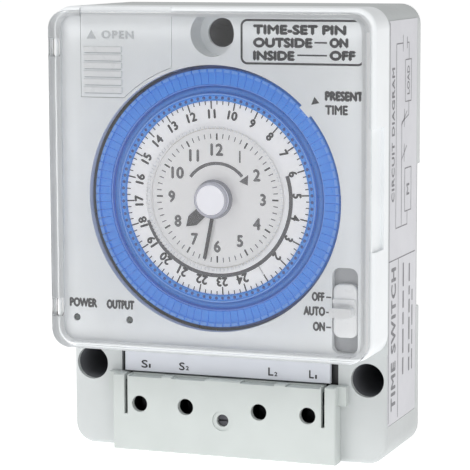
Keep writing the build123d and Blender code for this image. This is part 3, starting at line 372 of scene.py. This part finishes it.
# index dots on the ring's inner border, one for each pin
pin_count = 96
quarter = 360 / pin_count
pin_phase = 3.5
ring_front_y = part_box("pin_ring")[0][1]
dot_distance = 24.2
dot_radius = 0.40
deep_blue = moulded("index_dot_blue", (0.004, 0.05, 0.30), 0.35, 0.05)
# paler blue: painted highlight on the ring's raised crests
crest_highlight_blue = moulded("crest_painted_highlight_blue", (0.16, 0.40, 0.93), 0.22, 0.05)
# paler blue: painted highlight on the pins' raised tips
tip_highlight_blue = moulded("pin_tip_painted_highlight_blue", (0.10, 0.34, 0.88), 0.24, 0.05)
dots = repeated(dot_mesh(dot_distance, dot_radius), pin_count, pin_phase, quarter, deep_blue,
                dial_place(ring_front_y + 0.12 * mm))
finished("ring_index_dots", dots, "dial")


def band_mesh(profile, segments=192):
    """A closed band turned round the local Z axis from (radius, height) corners in mm."""
    mesh = bpy.data.meshes.new("band")
    shape = bmesh.new()
    rings = []
    for step in range(segments):
        angle = 2 * pi * step / segments
        rings.append([
            shape.verts.new((radius * cos(angle) * mm, radius * sin(angle) * mm, height * mm))
            for radius, height in profile])
    for step in range(segments):
        here, there = rings[step], rings[(step + 1) % segments]
        for corner in range(len(profile)):
            after = (corner + 1) % len(profile)
            shape.faces.new((here[corner], there[corner], there[after], here[after]))
    bmesh.ops.recalc_face_normals(shape, faces=shape.faces)
    for face in shape.faces:
        face.smooth = True
    shape.to_mesh(mesh)
    shape.free()
    return mesh


def turned(name, profile, y, material, body, slot):
    """A band round the dial at depth y, made a piece."""
    mesh = band_mesh(profile)
    mesh.materials.append(material)
    mesh.transform(dial_place(y))
    return finished(name, mesh, body)


# flat border under the dots, two rounded crests and the sloping groove between them. The border
# and the crests are a paler blue than the ring, a painted highlight on their raised faces, and
# the groove lacks the ring's glow, a painted shade in the hollow.
border = ((23.5, -0.05), (23.5, 0.06), (24.9, 0.06), (24.9, -0.05))
# paler blue: painted highlight on the flat border
border_highlight_blue = moulded("border_highlight_blue", (0.06, 0.33, 0.93), 0.26, 0.05)
turned("ring_border", border, ring_front_y + 0.20 * mm, border_highlight_blue, "dial", "blue_plastic")
crest = ((24.85, -0.1), (24.9, 0.10), (25.05, 0.14), (25.2, 0.10), (25.25, -0.1))
turned("ring_crest", crest, ring_front_y, crest_highlight_blue, "dial", "blue_plastic")
outer_crest = ((27.05, -0.3), (27.1, 0.12), (27.22, 0.16), (27.34, 0.12), (27.38, -0.3))
turned("ring_outer_crest", outer_crest, ring_front_y + 0.45 * mm, crest_highlight_blue, "dial",
       "blue_plastic")
groove = ((25.3, -0.74), (25.3, -0.68), (27.0, -1.08), (27.0, -1.14))
# blue without the ring's glow: painted shade in the groove
groove_shade_blue = moulded("groove_shade_blue", (0.004, 0.20, 0.66), 0.3, 0.05)
turned("ring_groove", groove, ring_front_y, groove_shade_blue, "dial", "blue_plastic")

# a dark blue band down the gap round the ring, where the foot of the pins lies: painted shade for
# the gap
gap_shade_blue = moulded("ring_gap_painted_shade_blue", (0.02, 0.10, 0.34), 0.4, 0.05)
foot = ((31.15, -0.15), (31.15, -0.1), (31.95, -0.1), (31.95, -0.15))
pins_low, pins_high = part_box("time_set_pins")
turned("ring_foot", foot, pins_high[1], gap_shade_blue, "dial", "blue_plastic")

# the raised tip of each pin, ninety-two fixed and four that slide, in a paler blue: a painted
# highlight where light catches them
tip_place = dial_place(pins_low[1] - 0.02 * mm)
tip_size = {"inner": 30.35, "outer": 31.0, "width": 1.55, "height": 0.12, "bevel": 0.04}
first_free = 28  # the first of the pins that slide, counted from the right
free_count = 4
after_free = pin_phase + (first_free + free_count + 0.5) * quarter
tips = repeated(bar_mesh(**tip_size), pin_count - free_count, after_free, quarter, tip_highlight_blue,
                tip_place)
finished("pin_tips", tips, "dial")
for number in range(free_count):
    angle = pin_phase + (first_free + number + 0.5) * quarter
    tip = repeated(bar_mesh(**tip_size), 1, angle, quarter, tip_highlight_blue, tip_place)
    finished(f"pin_tip_{number + 1}", tip, f"pin_{number + 1}")


# ================================================================ dial faces
# The day scale and the clock face are printed discs of matt white plastic. The day
# scale turns with the ring, and the clock face stands still under its hands.
def ink(name, colour, roughness=0.5):
    """Screen-printed ink: a slightly uneven film."""
    material, tree, shader = blank_material(name)
    tinted(tree, shader, object_noise(tree, 700.0), shade(colour, 0.85), shade(colour, 1.15))
    tree.links.new(ranged(tree, object_noise(tree, 1500.0), roughness - 0.08, roughness + 0.08),
                   shader.inputs["Roughness"])
    return material


black_ink = ink("black_ink", (0.022, 0.022, 0.026))
grey_ink = ink("grey_ink", (0.085, 0.085, 0.095))
soft_ink = ink("soft_grey_ink", (0.20, 0.20, 0.215))
clock_ink = ink("clock_grey_ink", (0.14, 0.14, 0.15))
card = moulded("dial_card", (0.96, 0.955, 0.965), 0.5, 0.08)
# painted glow: the white card gives off a little light of its own, though it is no lamp
glowing(card, (1, 1, 1), 0.10)
dress(card, "dial_plate", "clock_face")
dress(grey_ink, "hour_hand", "minute_hand")


def stamp(shape, text, place, box=None, size=None, centre=None, weight=0.0, spacing=1.0):
    """Adds flat lettering, fitted to a box (u0, u1, v0, v1) or of a size about a centre.

    The weight, in millimetres, thickens every stroke by printing it again to each side."""
    curve = bpy.data.curves.new("text", "FONT")
    curve.body = text
    curve.space_character = spacing
    curve.resolution_u = 3
    carrier = bpy.data.objects.new("text", curve)
    bpy.context.scene.collection.objects.link(carrier)
    bpy.context.view_layer.update()
    pattern = bpy.data.meshes.new_from_object(carrier)
    bpy.data.objects.remove(carrier)
    low_u = min(v.co.x for v in pattern.vertices)
    high_u = max(v.co.x for v in pattern.vertices)
    low_v = min(v.co.y for v in pattern.vertices)
    high_v = max(v.co.y for v in pattern.vertices)
    if box is None:
        scale = size / (high_v - low_v)
        half = (high_u - low_u) * scale / 2
        box = (centre[0] - half, centre[0] + half, centre[1] - size / 2, centre[1] + size / 2)
    wide = (box[1] - box[0] - 2 * weight) / (high_u - low_u)
    tall = (box[3] - box[2] - 2 * weight) / (high_v - low_v)
    for vertex in pattern.vertices:
        vertex.co = Vector(((box[0] + weight + (vertex.co.x - low_u) * wide) * mm,
                            (box[2] + weight + (vertex.co.y - low_v) * tall) * mm, 0))
    shifts = ((0, 0), (-1, 0), (1, 0), (0, -1), (0, 1)) if weight else ((0, 0),)
    print_step = 0.002  # each copy lies a little further out, so that none share a plane
    for level, (du, dv) in enumerate(shifts):
        copy = pattern.copy()
        copy.transform(place @ Matrix.Translation(
            (du * weight * mm, dv * weight * mm, level * print_step * mm)))
        shape.from_mesh(copy)
        bpy.data.meshes.remove(copy)
    bpy.data.meshes.remove(pattern)


def patch(shape, points, place):
    """Adds one flat face with corners given as (u, v) in millimetres."""
    shape.faces.new([shape.verts.new(place @ Vector((u * mm, v * mm, 0))) for u, v in points])


def stroke(shape, start, end, width, place):
    """Adds a straight line of a given width."""
    du, dv = end[0] - start[0], end[1] - start[1]
    long = hypot(du, dv)
    nu, nv = -dv / long * width / 2, du / long * width / 2
    patch(shape, ((start[0] - nu, start[1] - nv), (end[0] - nu, end[1] - nv),
                  (end[0] + nu, end[1] + nv), (start[0] + nu, start[1] + nv)), place)


def sweep(shape, centre, radius, width, first, last, place, taper=1.0):
    """Adds an arc from the first to the last angle, anticlockwise in degrees."""
    steps = max(3, int(abs(last - first) / 3))
    for step in range(steps):
        corners = []
        for share, side in ((step, -1), (step, 1), (step + 1, 1), (step + 1, -1)):
            angle = radians(first + (last - first) * share / steps)
            thick = width * (1 + (taper - 1) * share / steps)
            distance = radius + side * thick / 2
            corners.append((centre[0] + distance * cos(angle), centre[1] + distance * sin(angle)))
        patch(shape, corners, place)


def printed(name, shape, material, body, normal):
    """Turns a bmesh of ink into a piece with its faces all looking out along the normal."""
    for face in shape.faces:
        face.normal_update()
        if face.normal.dot(normal) < 0:
            face.normal_flip()
    mesh = bpy.data.meshes.new(name)
    shape.to_mesh(mesh)
    shape.free()
    mesh.materials.append(material)
    return finished(name, mesh, body)


front = Vector((0, -1, 0))
ink_lift = 0.03 * mm
scale_place = dial_place(dial_face_y - ink_lift)
hour_step = 15.0
right_hour = 5
day_scale = bmesh.new()
for hour in range(1, 25):
    angle = pin_phase + hour_step * (hour - right_hour)
    turned_place = scale_place @ Matrix.Rotation(radians(angle - 90), 4, "Z")
    stamp(day_scale, str(hour), turned_place, size=2.3, centre=(0, 20.3), weight=0.14)
printed("day_numerals", day_scale, black_ink, "dial", front)
for name, count, inner, outer, width in (("day_hour_ticks", 24, 21.5, 23.4, 0.34),
                                         ("day_quarter_ticks", 96, 22.5, 23.4, 0.26)):
    ticks = repeated(bar_mesh(inner, outer, width), count, pin_phase, 360 / count, black_ink,
                     scale_place)
    finished(name, ticks, "dial")

# the night's line runs from 18 hours round to 6 hours
night = bmesh.new()
night_first = pin_phase + hour_step * (18 - right_hour) - 360
night_last = pin_phase + hour_step * (6 - right_hour)
sweep(night, (0, 0), 18.75, 0.95, night_first, night_last, scale_place)
printed("night_arc", night, grey_ink, "dial", front)

# clock face: sixty ticks, upright numerals and the arrow for the setting direction
minute_ticks = repeated(bar_mesh(14.4, 15.6, 0.26), 60, 0, 6, soft_ink, scale_place)
finished("minute_ticks", minute_ticks, "case")
five_ticks = repeated(bar_mesh(14.0, 15.6, 0.42), 12, 0, 30, grey_ink, scale_place)
finished("five_minute_ticks", five_ticks, "case")
clock_print = bmesh.new()
numeral_distance = 11.7
numeral_weight = 0.16
narrow_weight = 0.09  # the 1 is a single bar, narrower than the others' strokes
arrow_distance = 8.4
for hour in range(1, 13):
    angle = radians(90 - 30 * hour)
    stamp(clock_print, str(hour), scale_place, size=3.0,
          centre=(numeral_distance * cos(angle), numeral_distance * sin(angle)),
          weight=narrow_weight if hour == 1 else numeral_weight)
sweep(clock_print, (0, 0), arrow_distance, 0.8, 144, 40, scale_place)
head_angle = radians(30)
tip = (arrow_distance * cos(head_angle) + 0.6, arrow_distance * sin(head_angle) - 0.9)
patch(clock_print, (tip, (tip[0] + 0.1, tip[1] + 2.6), (tip[0] - 2.2, tip[1] + 0.9)), scale_place)
printed("clock_numerals", clock_print, clock_ink, "case", front)

# stepped skirt below the setting knob, and the edge of its cap, both painted grey on the white
# knob: painted shade
knob_low, knob_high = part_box("set_knob")
skirt = ((3.4, -0.9), (4.75, -0.9), (4.75, -0.45), (4.45, -0.3), (4.2, 0.25), (3.4, 0.25))
# grey on the white knob's skirt: painted shade
skirt_shade_grey = moulded("knob_skirt_painted_shade", (0.36, 0.36, 0.40), 0.35, 0.05)
turned("knob_skirt", skirt, knob_high[1] - 1.0 * mm, skirt_shade_grey, "minute", "white_plastic")
cap_edge = ((3.55, -0.1), (3.55, 0.04), (4.0, 0.03), (4.28, -0.25), (4.28, -0.6), (4.15, -0.6))
# grey on the white knob's cap edge: painted shade
cap_edge_shade_grey = moulded("knob_edge_painted_shade", (0.60, 0.60, 0.68), 0.3, 0.05)
turned("knob_edge", cap_edge, knob_low[1], cap_edge_shade_grey, "minute", "white_plastic")

# milled rim of the clear minute disc, its ribs painted near white: painted glints where light
# catches the clear knurls
disc_front_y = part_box("minute_disc")[0][1]
# near-white on clear ribs: painted glint
glint = moulded("milled_rim_painted_glint", (0.90, 0.91, 0.92), 0.12, 0.02)
rib_count = 110
milling = repeated(bar_mesh(16.75, 17.5, 0.32, 0.3, 0.08), rib_count, 0, 360 / rib_count,
                   glint, dial_place(disc_front_y + 0.05 * mm))
finished("minute_disc_milling", milling, "minute")


# ================================================================ front panel print
# The legends on the panel are screen printed in black, straight onto the moulding.
# They ride with the case. Boxes are left, right, bottom and top, in millimetres.
def front_place(y):
    """The plane of the case's front at depth y: local X right, local Y up, local Z out."""
    return Matrix(((1, 0, 0, 0), (0, 0, -1, y), (0, 1, 0, 0), (0, 0, 0, 1)))


panel_y = -16.4 * mm
panel_place = front_place(panel_y - ink_lift)
legend = bmesh.new()
for text, box in (("TIME-SET PIN", (10.78, 33.77, 103.6, 106.0)),
                  ("OUTSIDE", (10.77, 25.56, 100.55, 102.95)),
                  ("ON", (29.64, 34.26, 100.65, 103.05)),
                  ("INSIDE", (10.77, 21.16, 97.5, 99.9)),
                  ("OFF", (29.65, 36.04, 97.7, 100.1))):
    stamp(legend, text, panel_place, box=box, weight=0.22)
for left, right, height in ((26.0, 29.06, 101.86), (21.78, 29.06, 98.88)):
    stroke(legend, (left, height), (right, height), 0.36, panel_place)

# the rounded frame round the pin legend
frame_left, frame_right, frame_low, frame_high = 7.93, 37.98, 96.82, 106.98
frame_round = 1.4
frame_line = 0.5
bend_left, bend_right = frame_left + frame_round, frame_right - frame_round
bend_low, bend_high = frame_low + frame_round, frame_high - frame_round
for u in (frame_left, frame_right):
    stroke(legend, (u, bend_low), (u, bend_high), frame_line, panel_place)
for v in (frame_low, frame_high):
    stroke(legend, (bend_left, v), (bend_right, v), frame_line, panel_place)
for u, v, first in ((bend_right, bend_high, 0), (bend_left, bend_high, 90),
                    (bend_left, bend_low, 180), (bend_right, bend_low, 270)):
    sweep(legend, (u, v), frame_round, frame_line, first, first + 90, panel_place)
stamp(legend, "PRESENT", panel_place, box=(28.54, 38.0, 88.3, 90.7), weight=0.21)
printed("pin_legend", legend, black_ink, "case", front)

# names of the lamps, the switch's three places with their lines, and the time's mark
captions = bmesh.new()
for text, box, weight in (("TIME", (28.6, 34.22, 85.1, 87.4), 0.13),
                          ("POWER", (-37.35, -29.92, 36.35, 38.7), 0.17),
                          ("OUTPUT", (-27.46, -20.06, 36.3, 38.65), 0.17),
                          ("OFF", (25.38, 28.58, 40.95, 43.2), 0.14),
                          ("AUTO", (23.31, 28.75, 37.45, 39.75), 0.14),
                          ("ON", (25.66, 28.72, 33.8, 36.1), 0.14)):
    stamp(captions, text, panel_place, box=box, weight=weight)
for left, right, height in ((28.98, 30.21, 42.05), (28.98, 30.25, 38.43), (28.97, 30.18, 34.87)):
    stroke(captions, (left, height), (right, height), 0.34, panel_place)
patch(captions, ((25.21, 87.38), (27.22, 87.8), (26.02, 89.29)), panel_place)
printed("panel_captions", captions, black_ink, "case", front)


# ================================================================ battery door marks
# The word, the arrow and six grip ribs stand up from the door's own moulding, and ride with it.
# The letters' tops and a line under each rib are painted grey, a painted shade so that they show.
def raised(name, shape, height, material, body):
    """Gives flat lettering a height along -Y and makes it a piece."""
    lifted = bmesh.ops.extrude_face_region(shape, geom=list(shape.faces))
    moved = [item for item in lifted["geom"] if isinstance(item, bmesh.types.BMVert)]
    bmesh.ops.translate(shape, verts=moved, vec=(0, -height, 0))
    bmesh.ops.recalc_face_normals(shape, faces=shape.faces)
    mesh = bpy.data.meshes.new(name)
    shape.to_mesh(mesh)
    shape.free()
    mesh.materials.append(material)
    return finished(name, mesh, body)


def door_lettering(shape, place):
    """The word and the arrow of the door, flat."""
    stamp(shape, "OPEN", place, box=(-28.0, -19.6, 102.2, 104.2), weight=0.08, spacing=1.15)
    patch(shape, ((-31.85, 102.17), (-29.48, 102.17), (-30.65, 104.2)), place)


door_marks = bmesh.new()
door_lettering(door_marks, front_place(panel_y + 0.04 * mm))
raised("door_marks", door_marks, 0.3 * mm, white_plastic, "battery_door")

# the tops of the letters and a line under each rib, painted grey: painted shade
rib_levels = [89.2 + number * 1.95 for number in range(6)]
painted_mark_shade = bmesh.new()
door_lettering(painted_mark_shade, front_place(panel_y - 0.28 * mm))
for level in rib_levels:
    stroke(painted_mark_shade, (-32.6, level - 0.18), (-22.9, level - 0.18), 0.22, panel_place)
# grey on the letters' tops and under the ribs: painted shade
mark_shade_grey = moulded("mark_top_painted_shade", (0.56, 0.58, 0.60), 0.45, 0.05)
printed("door_mark_tops", painted_mark_shade, mark_shade_grey, "battery_door", front)

# white caps on the ribs
rib_x, rib_y, rib_rise = -27.75, -16.72, 0.68
rib_size = Vector((10.0, 0.3, 1.3))
rib_shape = bmesh.new()
for level in rib_levels:
    middle = Vector((rib_x, rib_y, level + rib_rise))
    for corner in bmesh.ops.create_cube(rib_shape, size=1.0)["verts"]:
        corner.co = (middle + corner.co * rib_size) * mm
bmesh.ops.bevel(rib_shape, geom=list(rib_shape.edges), offset=0.12 * mm, segments=3,
                affect="EDGES", profile=0.5)
rib_mesh = bpy.data.meshes.new("door_rib_caps")
rib_shape.to_mesh(rib_mesh)
rib_shape.free()
rib_mesh.materials.append(white_plastic)
finished("door_rib_caps", rib_mesh, "battery_door")


# ================================================================ screw bores
# The bores of the three wall screws run to the back of the case. Each has a thin dark
# liner with a ring at its foot, which stands in for the shade seen in the real holes.
bore_dark = moulded("bore_shadow_grey", (0.06, 0.063, 0.072), 0.6, 0.3)
lower_face_y = -5.9
lower_bore_y = lower_face_y + 1.4
bore_depth = 20.0
for name, x, z, radius, mouth_y in (("left", -36.0, 20.5, 4.15, lower_bore_y),
                                    ("right", 36.0, 20.5, 4.15, lower_bore_y),
                                    ("top", 0.5, 103.7, 3.5, -9.0)):
    outside, inside, opening = radius - 0.01, radius - 0.12, radius - 1.8
    liner_profile = ((inside, 0.0), (outside, 0.0), (outside, -bore_depth),
                     (opening, -bore_depth), (opening, 0.1 - bore_depth),
                     (inside, 0.1 - bore_depth))
    liner = band_mesh(liner_profile, 64)
    liner.materials.append(bore_dark)
    liner.transform(Matrix.Translation((x * mm, 0, z * mm)) @ front_place(mouth_y * mm))
    finished(f"bore_liner_{name}", liner, "case")


# ================================================================ terminal strip and rating label
# The terminal strip is a grey extrusion with printed terminal numbers. The side label is
# glued film, printed with a generic wiring diagram and bars where fine print would be.
strip_grey = moulded("strip_grey", (0.66, 0.68, 0.73), 0.4, 0.05)
label_card = moulded("label_film", (0.62, 0.62, 0.655), 0.35, 0.05)
dress(strip_grey, "terminal_label")
dress(label_card, "rating_label")
strip_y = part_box("terminal_label")[0][1]
strip_place = front_place(strip_y - ink_lift)
strip_print = bmesh.new()
for text, box in (("S", (-22.17, -20.45, 20.3, 22.3)), ("1", (-20.2, -19.68, 20.4, 21.4)),
                  ("S", (-12.11, -10.58, 20.3, 22.3)), ("2", (-10.33, -9.5, 20.4, 21.45)),
                  ("L", (11.23, 12.6, 20.45, 22.45)), ("2", (12.83, 13.6, 20.4, 21.45)),
                  ("L", (21.72, 22.95, 20.45, 22.45)), ("1", (23.25, 23.73, 20.4, 21.4))):
    stamp(strip_print, text, strip_place, box=box, weight=0.06)
printed("terminal_numbers", strip_print, black_ink, "case", front)

# the label's plane: local X is the height, and local Y runs forward of the lower face
label_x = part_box("rating_label")[1][0]
side = Matrix(((0, 0, 1, label_x + ink_lift), (0, -1, 0, lower_face_y * mm), (1, 0, 0, 0),
               (0, 0, 0, 1)))
side_print = bmesh.new()


def wire(*corners):
    """A thin line through points given as (depth behind the lower face, height)."""
    for start, end in zip(corners, corners[1:]):
        stroke(side_print, (start[1], -start[0]), (end[1], -end[0]), 0.28, side)


def greeked(depth, low, high, width, word_lengths):
    """Short bars in a column, where the real label has fine print."""
    height = low
    turn = 0
    word_gap = 1.1
    while height < high:
        word = min(word_lengths[turn % len(word_lengths)], high - height)
        stroke(side_print, (height, -depth), (height + word, -depth), width, side)
        height += word + word_gap
        turn += 1


# rules of the label, then the diagram: supply, motor, two contacts and a load
wire((1.0, 10.0), (1.0, 106.2))
wire((1.0, 49.3), (23.5, 49.3))
wire((6.4, 56.8), (6.4, 101.0), (12.0, 101.0))
wire((6.4, 56.8), (16.2, 56.8), (16.2, 60.1))
wire((17.2, 83.5), (17.2, 86.8))
wire((17.2, 96.9), (17.2, 101.0), (15.6, 101.0))
wire((14.1, 86.8), (19.3, 86.8), (19.3, 96.9), (14.1, 96.9), (14.1, 86.8))
wire((14.0, 60.1), (19.6, 60.1), (19.6, 70.6), (14.0, 70.6), (14.0, 60.1))
wire((11.2, 57.0), (11.2, 82.0), (17.2, 83.5))
wire((8.9, 10.1), (8.9, 49.1))
for height in (82.9, 74.5):
    wire((11.0, height - 1.6), (15.7, height + 1.6))
    wire((13.4, height - 2.2), (13.4, height + 2.2))
wire((12.0, 99.0), (12.0, 103.0))
wire((15.6, 99.6), (15.6, 102.4))
stamp(side_print, "CIRCUIT DIAGRAM", side, box=(63.4, 95.5, -5.1, -2.7), weight=0.1, spacing=1.1)
stamp(side_print, "LOAD", side, box=(88.4, 95.4, -17.8, -15.7), weight=0.05)
stamp(side_print, "M", side, box=(63.9, 66.7, -18.0, -15.6), weight=0.08)
stamp(side_print, "TIME SWITCH", side, box=(12.5, 47.5, -6.9, -2.9), weight=0.18, spacing=1.1)
greeked(13.3, 20.0, 47.6, 1.0, (4.2, 6.0, 3.0))
greeked(18.6, 20.0, 46.8, 1.0, (3.4, 2.2, 5.6))
greeked(21.2, 20.0, 40.0, 0.7, (5.1, 3.7))
printed("rating_print", side_print, soft_ink, "case", Vector((1, 0, 0)))


# ================================================================ lamps
# Clear lamp lenses, unlit, dark against the board behind them.
lens = moulded("lamp_lens", (0.035, 0.05, 0.048), 0.15, 0.02)
dress(lens, "power_lamp", "output_lamp")


# ================================================================ clear cover
# A polished clear moulding, hinged on the left. Most light passes straight through.
# Known fault: its inner faces mirror everything beyond about 45 degrees, so the cover
# looks dark from some angles and dims what lies under it.
def clear_moulding(name, gloss_ior, edge_tint):
    """Clear plastic: a see-through share tinted at the edges, and a mirror share."""
    material, tree, shader = blank_material(name)
    tree.nodes.remove(shader)
    output = tree.nodes["Material Output"]
    seen = tree.nodes.new("ShaderNodeBsdfTransparent")
    edge = tree.nodes.new("ShaderNodeLayerWeight")
    edge.inputs["Blend"].default_value = 0.35
    ramp = tree.nodes.new("ShaderNodeValToRGB")
    ramp.color_ramp.elements[0].position = 0.6
    ramp.color_ramp.elements[0].color = (0.998, 0.999, 1.0, 1)
    ramp.color_ramp.elements[1].position = 0.95
    ramp.color_ramp.elements[1].color = (*edge_tint, 1)
    tree.links.new(edge.outputs["Facing"], ramp.inputs["Fac"])
    tree.links.new(ramp.outputs["Color"], seen.inputs["Color"])
    gloss = tree.nodes.new("ShaderNodeBsdfGlossy")
    gloss.inputs["Color"].default_value = (1, 1, 1, 1)
    tree.links.new(ranged(tree, object_noise(tree, 60.0), 0.03, 0.07), gloss.inputs["Roughness"])
    mirror = tree.nodes.new("ShaderNodeFresnel")
    mirror.inputs["IOR"].default_value = gloss_ior
    mix = tree.nodes.new("ShaderNodeMixShader")
    tree.links.new(mirror.outputs["Fac"], mix.inputs["Fac"])
    tree.links.new(seen.outputs["BSDF"], mix.inputs[1])
    tree.links.new(gloss.outputs["BSDF"], mix.inputs[2])
    tree.links.new(mix.outputs["Shader"], output.inputs["Surface"])
    return material


clear = clear_moulding("clear_plastic", 1.42, (0.50, 0.50, 0.56))
disc_clear = clear_moulding("clear_disc", 1.12, (0.97, 0.97, 0.98))
dress(clear, "clear_cover")
dress(disc_clear, "minute_disc")


# ================================================================ floor and light
# A pale sweep and large soft boxes, as for a catalogue picture.
floor_mesh = bpy.data.meshes.new("floor")
floor_corners = [(-6, -6, 0), (6, -6, 0), (6, 30, 0), (-6, 30, 0)]
floor_mesh.from_pydata(floor_corners, [], [(0, 1, 2, 3)])
floor = bpy.data.objects.new("floor", floor_mesh)
bpy.context.scene.collection.objects.link(floor)
floor_material, _, floor_shader = blank_material("pale_floor")
floor_shader.inputs["Base Color"].default_value = (0.93, 0.93, 0.93, 1)
floor_shader.inputs["Roughness"].default_value = 0.9
floor_shader.inputs["Emission Color"].default_value = (1, 1, 1, 1)
floor_shader.inputs["Emission Strength"].default_value = 0.6
floor_mesh.materials.append(floor_material)

world = bpy.data.worlds.new("studio")
world.use_nodes = True
world.node_tree.nodes["Background"].inputs["Color"].default_value = (1, 1, 1, 1)
world.node_tree.nodes["Background"].inputs["Strength"].default_value = 0.46
bpy.context.scene.world = world


def soft_box(name, place, aim, size, power):
    """A rectangular soft light at place, turned to the aim."""
    light = bpy.data.lights.new(name, "AREA")
    light.shape = "RECTANGLE"
    light.size, light.size_y = size
    light.energy = power
    lamp = bpy.data.objects.new(name, light)
    bpy.context.scene.collection.objects.link(lamp)
    lamp.location = place
    lamp.rotation_euler = (Vector(aim) - Vector(place)).to_track_quat("-Z", "Y").to_euler()


target = (0, 0, 0.055)
soft_box("key_light", (-0.5, -0.8, 0.9), target, (0.6, 0.6), 6.6)
soft_box("fill_light", (0.8, -0.6, 0.5), target, (0.6, 0.8), 1.8)
bpy.context.scene.view_settings.view_transform = "Standard"
